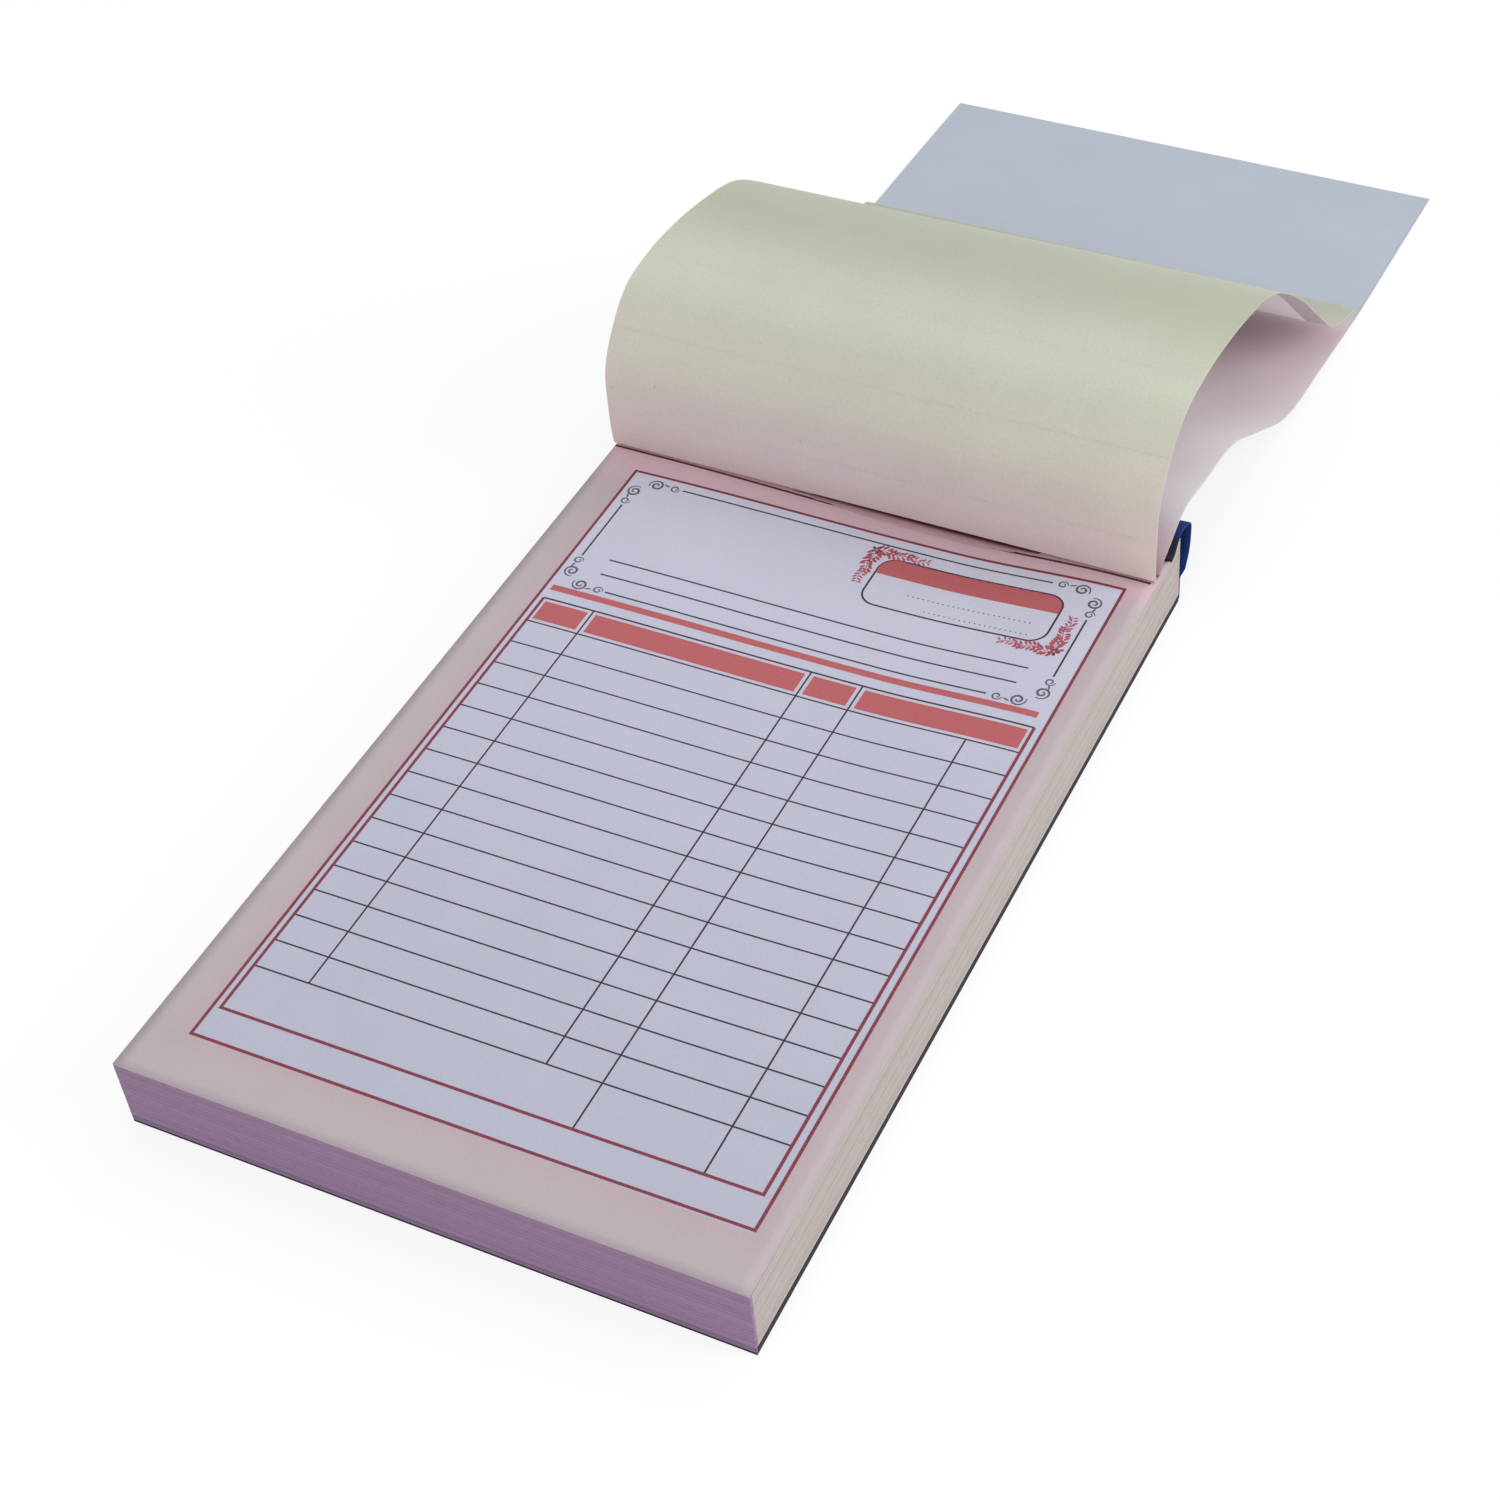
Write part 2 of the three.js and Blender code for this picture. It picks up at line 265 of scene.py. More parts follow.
def add_bar(bm: bmesh.types.BMesh, x0: float, y0: float, x1: float, y1: float,
            cells: tuple[int, int] = (1, 1)) -> list[bmesh.types.BMVert]:
    """Add a flat rectangle.

    Args:
        bm: The mesh.
        x0: Its left side.
        y0: Its near side.
        x1: Its right side.
        y1: Its far side.
        cells: How many faces it has each way.

    Returns:
        Its vertices.
    """
    centre = Matrix.Translation(((x0 + x1) / 2, (y0 + y1) / 2, 0))
    size = Matrix.Diagonal((x1 - x0, y1 - y0, 1, 1))
    made = bmesh.ops.create_grid(
        bm, x_segments=cells[0], y_segments=cells[1], size=0.5, matrix=centre @ size,
    )
    return made["verts"]


def add_stroke(bm: bmesh.types.BMesh, points: Sequence[Vector], widths: Sequence[float]) -> None:
    """Add a flat stroke along some points, by extruding its edge from one to the next.

    Args:
        bm: The mesh.
        points: The stroke's middle line.
        widths: Its width at each point.
    """
    edge: Optional[bmesh.types.BMEdge] = None
    for i, point in enumerate(points):
        ahead = points[min(i + 1, len(points) - 1)] - points[max(i - 1, 0)]
        across = Vector((-ahead.y, ahead.x, 0)).normalized() * widths[i] / 2
        if edge is None:
            ends = [bm.verts.new(point + across), bm.verts.new(point - across)]
            edge = bm.edges.new(ends)
            continue
        first, second = edge.verts
        new = bmesh.ops.extrude_edge_only(bm, edges=[edge])["geom"]
        edge = next(item for item in new if isinstance(item, bmesh.types.BMEdge))
        linked = {v: v.link_edges for v in edge.verts}
        for vert, edges in linked.items():
            from_first = any(first in e.verts for e in edges)
            vert.co = point + across if from_first else point - across


def add_oval(bm: bmesh.types.BMesh, centre: Vector, length: float, width: float, angle: float,
             segments: int = 8) -> None:
    """Add a flat filled oval.

    Args:
        bm: The mesh.
        centre: Its centre.
        length: Its longer diameter.
        width: Its shorter diameter.
        angle: How far it is turned, in radians.
        segments: How many corners it has.
    """
    turned = Matrix.Translation(centre) @ Matrix.Rotation(angle, 4, "Z")
    sized = turned @ Matrix.Diagonal((length / 2, width / 2, 1, 1))
    bmesh.ops.create_circle(bm, cap_ends=True, segments=segments, radius=1.0, matrix=sized)


# Shader graphs


class Wire:
    """A node's output socket, with arithmetic that adds Math nodes."""

    def __init__(self, graph: "Graph", socket: bpy.types.NodeSocket) -> None:
        """Keep the graph and the socket."""
        self.graph = graph
        self.socket = socket

    def math(self, operation: str, *values: Union["Wire", float]) -> "Wire":
        """Return a Math node of some values."""
        return self.graph.add("ShaderNodeMath", {"operation": operation}, dict(enumerate(values)))

    def __add__(self, other: Union["Wire", float]) -> "Wire":
        """Return this plus another."""
        return self.math("ADD", self, other)

    __radd__ = __add__

    def __mul__(self, other: Union["Wire", float]) -> "Wire":
        """Return this times another."""
        return self.math("MULTIPLY", self, other)

    __rmul__ = __mul__

    def __sub__(self, other: Union["Wire", float]) -> "Wire":
        """Return this minus another."""
        return self.math("SUBTRACT", self, other)

    def __rsub__(self, other: float) -> "Wire":
        """Return a number minus this."""
        return self.math("SUBTRACT", other, self)

    def absolute(self) -> "Wire":
        """Return this without its sign."""
        return self.math("ABSOLUTE", self)

    def sine(self) -> "Wire":
        """Return the sine of this."""
        return self.math("SINE", self)

    def larger(self, other: Union["Wire", float]) -> "Wire":
        """Return the larger of this and another."""
        return self.math("MAXIMUM", self, other)

    def ramp(self, low: float, high: float) -> "Wire":
        """Ease from 0 to 1 between two values of this.

        Args:
            low: The value where it is still 0.
            high: The value from which it is 1.

        Returns:
            The eased value.
        """
        return self.graph.add(
            "ShaderNodeMapRange", {"interpolation_type": "SMOOTHSTEP"},
            {"Value": self, "From Min": low, "From Max": high}, "Result",
        )


Value = Union[Wire, float, Sequence[float]]
MIX_FACTOR, MIX_FIRST, MIX_SECOND, MIX_RESULT = 0, 6, 7, 2


class Graph:
    """A material's node tree, opened on its Principled shader."""

    FINER_SHARE = 0.6

    def __init__(self, name: str) -> None:
        """Make the material with a shader and an output.

        Args:
            name: The material's name.
        """
        self.material = bpy.data.materials.new(name)
        self.material.use_nodes = True
        self.tree = self.material.node_tree
        self.tree.nodes.clear()
        shader = self.add("ShaderNodeBsdfPrincipled", output="BSDF")
        self.shader = shader.socket.node
        self.add("ShaderNodeOutputMaterial", sockets={"Surface": shader}, output=None)

    def add(self, kind: str, settings: Optional[dict[str, object]] = None,
            sockets: Optional[dict[Union[str, int], Value]] = None,
            output: Union[str, int, None] = 0) -> Optional[Wire]:
        """Add a node.

        Args:
            kind: The node's type.
            settings: Its properties, and a ramp's stops as a list of positions and colours.
            sockets: The values or links of its inputs.
            output: The output that is wanted, if any.

        Returns:
            The wanted output, or None.
        """
        node = self.tree.nodes.new(kind)
        for name, setting in (settings or {}).items():
            if name == "stops":
                self._set_stops(node.color_ramp, setting)
            else:
                setattr(node, name, setting)
        for name, value in (sockets or {}).items():
            self.put(node.inputs[name], value)
        return None if output is None else Wire(self, node.outputs[output])

    @staticmethod
    def _set_stops(ramp: bpy.types.ColorRamp, stops: Sequence[tuple[float, Colour]]) -> None:
        """Give a colour ramp its stops.

        Args:
            ramp: The ramp.
            stops: The stops' positions and colours.
        """
        ramp.interpolation = "EASE"
        while len(ramp.elements) < len(stops):
            ramp.elements.new(1.0)
        for element, (position, colour) in zip(ramp.elements, stops):
            element.position = position
            element.color = (*colour, 1.0)

    def put(self, socket: bpy.types.NodeSocket, value: Value) -> None:
        """Link a wire to an input, or set the input's value.

        Args:
            socket: The input.
            value: The wire, number, colour or vector.
        """
        if isinstance(value, Wire):
            self.tree.links.new(value.socket, socket)
        elif isinstance(value, (int, float)):
            socket.default_value = value
        elif socket.type == "RGBA" and len(value) == 3:
            socket.default_value = (*value, 1.0)
        else:
            socket.default_value = value

    def set(self, **values: Value) -> None:
        """Set the shader's inputs, whose names are written with _ for a space."""
        for name, value in values.items():
            self.put(self.shader.inputs[name.replace("_", " ")], value)

    def mix(self, factor: Value, first: Value, second: Value, blend: str = "MIX") -> Wire:
        """Mix two colours.

        Args:
            factor: The share of the second.
            first: The first colour.
            second: The second colour.
            blend: How they are blended.

        Returns:
            The mixed colour.
        """
        return self.add(
            "ShaderNodeMix", {"data_type": "RGBA", "blend_type": blend},
            {MIX_FACTOR: factor, MIX_FIRST: first, MIX_SECOND: second}, MIX_RESULT,
        )

    def noise(self, place: Wire, scale: float, detail: float = 3.0) -> Wire:
        """Add a noise of about 0.5.

        Args:
            place: Where it is looked up.
            scale: How often it changes over one unit of the place.
            detail: How many finer layers it has.

        Returns:
            The noise.
        """
        return self.add(
            "ShaderNodeTexNoise", {},
            {"Vector": place, "Scale": scale, "Detail": detail, "Roughness": self.FINER_SHARE}, "Fac",
        )

    def stretched(self, place: Wire, scale: Sequence[float]) -> Wire:
        """Return a place with each direction scaled."""
        return self.add("ShaderNodeMapping", {}, {"Vector": place, "Scale": scale}, "Vector")

    def parts(self, place: Wire) -> tuple[Wire, Wire, Wire]:
        """Split a place.

        Args:
            place: The place.

        Returns:
            Its three coordinates.
        """
        split = self.add("ShaderNodeSeparateXYZ", {}, {"Vector": place}, "X")
        outputs = split.socket.node.outputs
        return tuple(Wire(self, outputs[axis]) for axis in "XYZ")

    def vary(self, colour: Value, level: Wire) -> Wire:
        """Make a colour lighter and darker.

        Args:
            colour: The colour.
            level: How light it becomes, about 1.

        Returns:
            The varied colour.
        """
        grey = self.add(
            "ShaderNodeCombineColor", {}, {"Red": level, "Green": level, "Blue": level}, "Color",
        )
        return self.mix(1.0, colour, grey, "MULTIPLY")

    def dress(self, colour: Value, roughness: Value, shine: float, height: Value,
              relief: float) -> bpy.types.Material:
        """Give the shader its colour, its gloss and its relief.

        Args:
            colour: The base colour.
            roughness: How rough the surface is.
            shine: Its specular level.
            height: What stands out of the surface, about 0 to 1.
            relief: How far it stands out at 1, in metres.

        Returns:
            The finished material.
        """
        sockets = {"Height": height, "Distance": relief, "Strength": 1.0}
        bump = self.add("ShaderNodeBump", {}, sockets, "Normal")
        self.set(Base_Color=colour, Roughness=roughness, Specular_IOR_Level=shine, Normal=bump)
        return self.material


class Coordinates(Enum):
    """What a finish lies on: the pad as it stands, or a sheet laid out flat."""

    OBJECT = "Object"
    SHEET = "UV"


def millimetres(graph: Graph, source: Coordinates) -> Wire:
    """Return the surface's place in millimetres on the pad or on the flat sheet."""
    place = graph.add("ShaderNodeTexCoord", output=source.value)
    return graph.stretched(place, (1 / MM,) * 3)


# Finishes


def at_front(along: Wire, depth: tuple[float, float]) -> Wire:
    """Return 1 at the pad's front edge, falling to 0 between two depths behind it."""
    return 1 - along.ramp(*(PAD.front + distance for distance in depth))


def at_sides(across: Wire, depth: tuple[float, float]) -> Wire:
    """Return 1 at the pad's two sides, falling to 0 between two depths in from them."""
    outer, inner = depth
    return across.absolute().ramp(PAD.half_width - inner, PAD.half_width - outer)


Tints = tuple[tuple[float, str], ...]

# The form's bluish paper, darker towards the front edge and lighter towards the bound edge: painted
# light and shade.
FORM_PAPER_AND_PAINTED_SHADE: Tints = ((0.0, "b6b8c6"), (0.55, "bcbdcd"), (1.0, "cdccdc"))
DUPLICATE_TINTS: Tints = ((0.0, "cdb0ba"),)
CARD_TINTS: Tints = ((0.0, "c3c8d4"),)
ARCH_FACE_TINTS: Tints = ((0.0, "e2dadd"),)
# Pinker and darker at the crease: painted reddish shade and pink bounce light.
CREASE_SHADE_TINTS: Tints = ((0.95, "c79fa4"), (1.0, "c497a0"))
# The arched leaf's back: the khaki is the paper's own colour, and the lighter pinkish beige towards the
# crease is painted pink bounce light.
ARCH_BACK_AND_BOUNCE_LIGHT: Tints = (
    (0.0, "a9ad9a"), (0.56, "afb3a0"), (0.72, "c6c9b7"), (0.80, "d0ccbd"), (0.89, "d7c8c3"),
    (0.93, "d6c0bd"), *CREASE_SHADE_TINTS,
)
# The bundle's blank side in painted light: blue-grey for sky-lit shade on the tail, and a lighter pink
# for bounce light under the arch.
BUNDLE_PAINTED_LIGHT: Tints = (
    (0.0, "b2b9c4"), (0.275, "b3bac5"), (0.33, "dfcdd2"), (0.6, "e6dcdf"), (0.85, "e6e0e4"),
    *CREASE_SHADE_TINTS,
)


@dataclass(frozen=True)
class PaperFinish:
    """Uncoated paper: mottled pulp, a fine tooth and, on some leaves, a colour that changes along them,
    which is partly painted light and shade.
    """

    name: str
    tints: Tints
    mottle: float = 0.09
    tooth: float = 0.13
    specks: float = 0.0
    fibre_code: str = "8d8574"
    cloud_scale: float = 0.06
    pulp_scale: float = 1.6
    fibre_stretch: tuple[float, float, float] = (1.0, 0.35, 1.0)
    fibre_scale: float = 0.9
    fibre_band: tuple[float, float] = (0.78, 0.82)
    roughness: float = 0.86
    shine: float = 0.25
    relief: float = 0.00004
    glow_through: float = 0.0
    glow_radius: tuple[float, float, float] = (1.0, 0.92, 0.85)
    glow_depth: float = 0.0004

    def base(self, graph: Graph, place: Wire) -> Value:
        """Colour the paper before its pulp shows, by how far along the sheet it is.

        Args:
            graph: The material's graph.
            place: The place on the flat sheet.

        Returns:
            The colour.
        """
        if len(self.tints) == 1:
            return srgb(self.tints[0][1])
        _, along, _ = graph.parts(place)
        share = (along - PAD.front) * (1 / PAD.length)
        stops = [(position, srgb(code)) for position, code in self.tints]
        return graph.add("ShaderNodeValToRGB", {"stops": stops}, {"Fac": share}, "Color")

    def make(self) -> bpy.types.Material:
        """Make the paper.

        Returns:
            The material.
        """
        graph = Graph(self.name)
        place = millimetres(graph, Coordinates.SHEET)
        colour = self.base(graph, place)
        cloud = graph.noise(place, self.cloud_scale, detail=2.0)
        colour = graph.vary(colour, 1 + self.mottle * (cloud - 0.5))
        pulp = graph.noise(place, self.pulp_scale, detail=4.0)
        colour = graph.vary(colour, 1 + self.tooth * (pulp - 0.5))
        if self.specks:
            drawn_out = graph.stretched(place, self.fibre_stretch)
            fibre = graph.noise(drawn_out, self.fibre_scale, detail=1.0).ramp(*self.fibre_band)
            colour = graph.mix(fibre * self.specks, colour, srgb(self.fibre_code))
        graph.set(
            Subsurface_Weight=self.glow_through, Subsurface_Radius=self.glow_radius,
            Subsurface_Scale=self.glow_depth,
        )
        return graph.dress(colour, self.roughness, self.shine, pulp, self.relief)


@dataclass(frozen=True)
class FormPaperFinish(PaperFinish):
    """A printed leaf: a bluish white field inside the border and a pinker margin around it."""

    field_middle: tuple[float, float] = (1.6, -3.0)
    field_half: tuple[float, float] = (48.0, 73.3)
    margin: str = "baaeb1"
    glow: str = "be9fa4"
    glow_reach: float = 4.0
    glow_share: float = 0.28
    # Painted shade and pink bounce light: the margin turns pinker towards the bound edge, under the
    # arch.
    bound_shade_tint: str = "e2bdc4"
    bound_shade_fade: tuple[float, float] = (62.0, 76.0)
    bound_shade_share: float = 0.7
    edge_blur: float = 0.1

    def base(self, graph: Graph, place: Wire) -> Value:
        """Colour the field inside the border and the pinker margin around it.

        Args:
            graph: The material's graph.
            place: The place on the flat sheet.

        Returns:
            The colour.
        """
        across, along, _ = graph.parts(place)
        beside = (across - self.field_middle[0]).absolute() - self.field_half[0]
        beyond = (along - self.field_middle[1]).absolute() - self.field_half[1]
        outside = beside.larger(beyond)
        near = 1 - outside.absolute().ramp(0.0, self.glow_reach)
        margin = graph.mix(near * self.glow_share, srgb(self.margin), srgb(self.glow))
        # Painted shade and bounce light towards the bound edge.
        bound = along.ramp(*self.bound_shade_fade) * self.bound_shade_share
        margin = graph.mix(bound, margin, srgb(self.bound_shade_tint))
        in_margin = outside.ramp(-self.edge_blur, self.edge_blur)
        return graph.mix(in_margin, super().base(graph, place), margin)


@dataclass(frozen=True)
class LeafEdgeFinish:
    """The block: mauve cut edges at the front, partly their own colour and partly painted shade, cream
    ones on the sides, and on top a pinker painted shade towards the bound edge and a dark painted shadow
    at the crease.
    """

    name: str = "leaf_edges"
    # The front edges are mauver and darker than the cream sides: partly the leaves' own colour, partly
    # painted shade.
    front: str = "a084a1"
    side: str = "bcb3af"
    # Painted shade: the top turns pinker towards the bound edge.
    bound: str = "c9a3a9"
    # Painted shadow: dark red on top behind the crease, in the gap under the turned leaf.
    gum: str = "5c2a33"
    front_depth: tuple[float, float] = (0.4, 0.9)
    side_depth: tuple[float, float] = (0.5, 0.8)
    bound_shade_from: tuple[float, float] = (71.0, 72.0)
    gum_from: tuple[float, float] = (75.1, 76.2)
    crease_skew: float = math.radians(1.0)
    streak: float = 0.22
    streak_stretch: tuple[float, float, float] = (0.9, 0.9, 3.0)
    blotch: float = 0.06
    blotch_stretch: tuple[float, float, float] = (0.06, 0.06, 0.12)
    roughness: float = 0.9
    shine: float = 0.2
    relief: float = 0.00006

    def make(self) -> bpy.types.Material:
        """Make the finish of the block's cut edges.

        Returns:
            The material.
        """
        graph = Graph(self.name)
        place = millimetres(graph, Coordinates.OBJECT)
        across, along, _ = graph.parts(place)
        is_front = at_front(along, self.front_depth)
        colour = graph.mix(is_front, srgb(self.side), srgb(self.front))
        on_top = 1 - at_sides(across, self.side_depth)
        colour = graph.mix(along.ramp(*self.bound_shade_from) * on_top, colour, srgb(self.bound))
        # Painted shadow at the crease.
        from_crease = along + across * math.tan(self.crease_skew)
        colour = graph.mix(from_crease.ramp(*self.gum_from) * on_top, colour, srgb(self.gum))
        grain = graph.noise(graph.stretched(place, self.streak_stretch), 1.0)
        blotch = graph.noise(graph.stretched(place, self.blotch_stretch), 1.0, detail=2.0)
        colour = graph.vary(colour, 1 + self.streak * (grain - 0.5) + self.blotch * (blotch - 0.5))
        return graph.dress(colour, self.roughness, self.shine, grain, self.relief)


@dataclass(frozen=True)
class InkFinish:
    """Litho ink on uncoated paper, slightly uneven where the pulp took less of it."""

    name: str
    code: str
    thin: float = 0.16
    thin_code: str = "d8cdd2"
    thin_band: tuple[float, float] = (0.5, 0.8)
    speckle_scale: float = 3.5
    roughness: float = 0.62
    shine: float = 0.3
    relief: float = 0.00002

    def make(self) -> bpy.types.Material:
        """Make the ink.

        Returns:
            The material.
        """
        graph = Graph(self.name)
        place = millimetres(graph, Coordinates.SHEET)
        speckle = graph.noise(place, self.speckle_scale)
        bare = speckle.ramp(*self.thin_band) * self.thin
        colour = graph.mix(bare, srgb(self.code), srgb(self.thin_code))
        return graph.dress(colour, self.roughness, self.shine, speckle, self.relief)


@dataclass(frozen=True)
class TapeFinish:
    """Blue bookbinding cloth: a plain weave of glossy threads, darker between them."""

    name: str = "blue_book_cloth"
    thread: str = "0c3782"
    gap: str = "06122c"
    rubbed: str = "2b5296"
    rubbed_share: float = 0.2
    rubbed_band: tuple[float, float] = (0.55, 0.8)
    rubbed_scale: float = 0.35
    thread_pitch: float = 0.42
    thread_band: tuple[float, float] = (0.05, 0.5)
    roughness: float = 0.6
    rubbed_roughness: float = 0.1
    shine: float = 0.2
    relief: float = 0.00008

    def make(self) -> bpy.types.Material:
        """Make the cloth.

        Returns:
            The material.
        """
        graph = Graph(self.name)
        place = millimetres(graph, Coordinates.SHEET)
        across, along, _ = graph.parts(place)
        turn = math.pi / self.thread_pitch
        raised = ((across * turn).sine() * (along * turn).sine()).absolute()
        worn = graph.noise(place, self.rubbed_scale)
        colour = graph.mix(raised.ramp(*self.thread_band), srgb(self.gap), srgb(self.thread))
        rubbed = worn.ramp(*self.rubbed_band) * self.rubbed_share
        colour = graph.mix(rubbed, colour, srgb(self.rubbed))
        roughness = self.roughness + self.rubbed_roughness * worn
        return graph.dress(colour, roughness, self.shine, raised, self.relief)


@dataclass(frozen=True)
class BoardFinish:
    """Grey board: pressed pulp, with dark sides, a front edge trimmed with the leaves and a painted
    shadow line along the foot of that edge.
    """

    name: str = "grey_board"
    pulp: str = "a9a39c"
    fibre: str = "7d766e"
    trimmed: str = "927796"
    # Painted shadow: a dark line along the foot of the front edge.
    foot: str = "241d22"
    flank: str = "3f393e"
    front_depth: tuple[float, float] = (0.05, 0.35)
    side_depth: tuple[float, float] = (0.1, 0.3)
    shadow_line_height: tuple[float, float] = (0.35, 0.6)
    fibre_stretch: tuple[float, float, float] = (0.5, 1.4, 4.0)
    fibre_scale: float = 1.2
    fibre_band: tuple[float, float] = (0.4, 0.75)
    roughness: float = 0.92
    shine: float = 0.2
    relief: float = 0.00008

    def make(self) -> bpy.types.Material:
        """Make the board's finish.

        Returns:
            The material.
        """
        graph = Graph(self.name)
        place = millimetres(graph, Coordinates.OBJECT)
        across, along, up = graph.parts(place)
        pressed = graph.stretched(place, self.fibre_stretch)
        fibres = graph.noise(pressed, self.fibre_scale, detail=4.0)
        colour = graph.mix(fibres.ramp(*self.fibre_band), srgb(self.pulp), srgb(self.fibre))
        colour = graph.mix(at_sides(across, self.side_depth), colour, srgb(self.flank))
        edge = graph.mix(up.ramp(*self.shadow_line_height), srgb(self.foot), srgb(self.trimmed))
        colour = graph.mix(at_front(along, self.front_depth), colour, edge)
        return graph.dress(colour, self.roughness, self.shine, fibres, self.relief)


@dataclass(frozen=True)
class DarkPaperFinish:
    """The near-black sheet between board and leaves, its front edge trimmed with them."""

    name: str = "dark_backing_paper"
    code: str = "121014"
    fibre: str = "3a343c"
    fibre_share: float = 0.4
    trimmed: str = "7f6884"
    front_depth: tuple[float, float] = (0.05, 0.35)
    pulp_scale: float = 1.5
    roughness: float = 0.8
    shine: float = 0.25
    relief: float = 0.00004

    def make(self) -> bpy.types.Material:
        """Make the backing sheet's finish.

        Returns:
            The material.
        """
        graph = Graph(self.name)
        place = millimetres(graph, Coordinates.OBJECT)
        _, along, _ = graph.parts(place)
        pulp = graph.noise(place, self.pulp_scale, detail=4.0)
        colour = graph.mix(pulp * self.fibre_share, srgb(self.code), srgb(self.fibre))
        colour = graph.mix(at_front(along, self.front_depth), colour, srgb(self.trimmed))
        return graph.dress(colour, self.roughness, self.shine, pulp, self.relief)


@dataclass(frozen=True)
class WireFinish:
    """Galvanised staple wire with fine drawing marks."""

    name: str = "staple_wire"
    code: str = "a9abae"
    mark: str = "7d7f84"
    mark_stretch: tuple[float, float, float] = (0.6, 9.0, 9.0)
    metallic: float = 0.95
    roughness: float = 0.28
    mark_roughness: float = 0.2
    shine: float = 0.5
    relief: float = 0.00003

    def make(self) -> bpy.types.Material:
        """Make the wire's finish.

        Returns:
            The material.
        """
        graph = Graph(self.name)
        place = millimetres(graph, Coordinates.OBJECT)
        marks = graph.noise(graph.stretched(place, self.mark_stretch), 1.0)
        colour = graph.mix(marks, srgb(self.code), srgb(self.mark))
        graph.set(Metallic=self.metallic)
        roughness = self.roughness + self.mark_roughness * marks
        return graph.dress(colour, roughness, self.shine, marks, self.relief)


# Lines that a sheet follows


@dataclass(frozen=True)
class Knot:
    """A point that a sheet passes, in a view along its crease, and its direction there in degrees."""

    y: float
    z: float
    heading: float


class SheetLine:
    """A sheet's smooth line through its knots, measured by distance along it."""

    STEPS = 20
    LOWEST_HEADING = math.radians(-135)

    def __init__(self, knots: Sequence[Knot], start: float) -> None:
        """Walk along the knots.

        Args:
            knots: The knots in order.
            start: The distance that the first knot has.
        """
        self.points = [Vector((knots[0].y, knots[0].z))]
        self.distances = [start]
        self.knot_distances = [start]
        for first, second in zip(knots, knots[1:]):
            for point in self._span(first, second)[1:]:
                self.distances.append(self.distances[-1] + (point - self.points[-1]).length)
                self.points.append(point)
            self.knot_distances.append(self.distances[-1])
        self.headings = [self._heading(i) for i in range(len(self.points))]

    @property
    def end(self) -> float:
        """Return the distance of the last knot."""
        return self.distances[-1]

    def _span(self, first: Knot, second: Knot) -> list[Vector]:
        """Lay the curve between two knots, rounded like an arc.

        Args:
            first: The knot where it starts.
            second: The knot where it ends.

        Returns:
            Points along the curve.
        """
        start, stop = Vector((first.y, first.z)), Vector((second.y, second.z))
        turn = math.radians(second.heading - first.heading)
        reach = (stop - start).length / 3 / math.cos(turn / 4) ** 2
        handles = [
            point + sign * reach * Vector((math.cos(angle), math.sin(angle)))
            for point, sign, angle in (
                (start, 1, math.radians(first.heading)), (stop, -1, math.radians(second.heading)),
            )
        ]
        return interpolate_bezier(start, handles[0], handles[1], stop, self.STEPS)

    def _heading(self, index: int) -> float:
        """Find the direction at a point.

        Args:
            index: Which point it is.

        Returns:
            The direction in radians, from -135 to 225 degrees.
        """
        ahead = self.points[min(index + 1, len(self.points) - 1)] - self.points[max(index - 1, 0)]
        angle = math.atan2(ahead.y, ahead.x)
        return angle + math.tau if angle < self.LOWEST_HEADING else angle

    def at(self, distance: float) -> tuple[Vector, float]:
        """Return the point at a distance and the direction there.

        Args:
            distance: The distance, which may lie past either end.

        Returns:
            The point and its direction in radians.
        """
        i = min(max(bisect_right(self.distances, distance) - 1, 0), len(self.points) - 2)
        share = (distance - self.distances[i]) / (self.distances[i + 1] - self.distances[i])
        point = self.points[i].lerp(self.points[i + 1], share)
        turned = self.headings[i + 1] - self.headings[i]
        return point, self.headings[i] + clipped(share) * turned


def hinges_of(names: Sequence[str]) -> list[Vector]:
    """Return the places of some joints in millimetres, in the order of their names."""
    places = {joint["name"]: Vector(joint["pos_m"]) / MM for joint in frame["joints"]}
    return [places[name] for name in names]


def crease_axis() -> Vector:
    """Return the direction that the sheets' hinges share."""
    return Vector(frame["joints"][0]["axis"])


def free_end(node: str) -> Vector:
    """Find a strip's free edge, which is its edge furthest from the bound edge.

    Args:
        node: The strip.

    Returns:
        The middle of that edge.
    """
    mesh = frame["nodes"][node].data
    places = {tuple(round(c / MM, 3) for c in vert.co) for vert in mesh.vertices}
    corners = sorted(places, key=lambda corner: corner[1])
    far = [Vector(corner) for corner in corners[len(corners) // 2 :]]
    return sum(far, Vector()) / len(far)


# Sheets turned over the binding


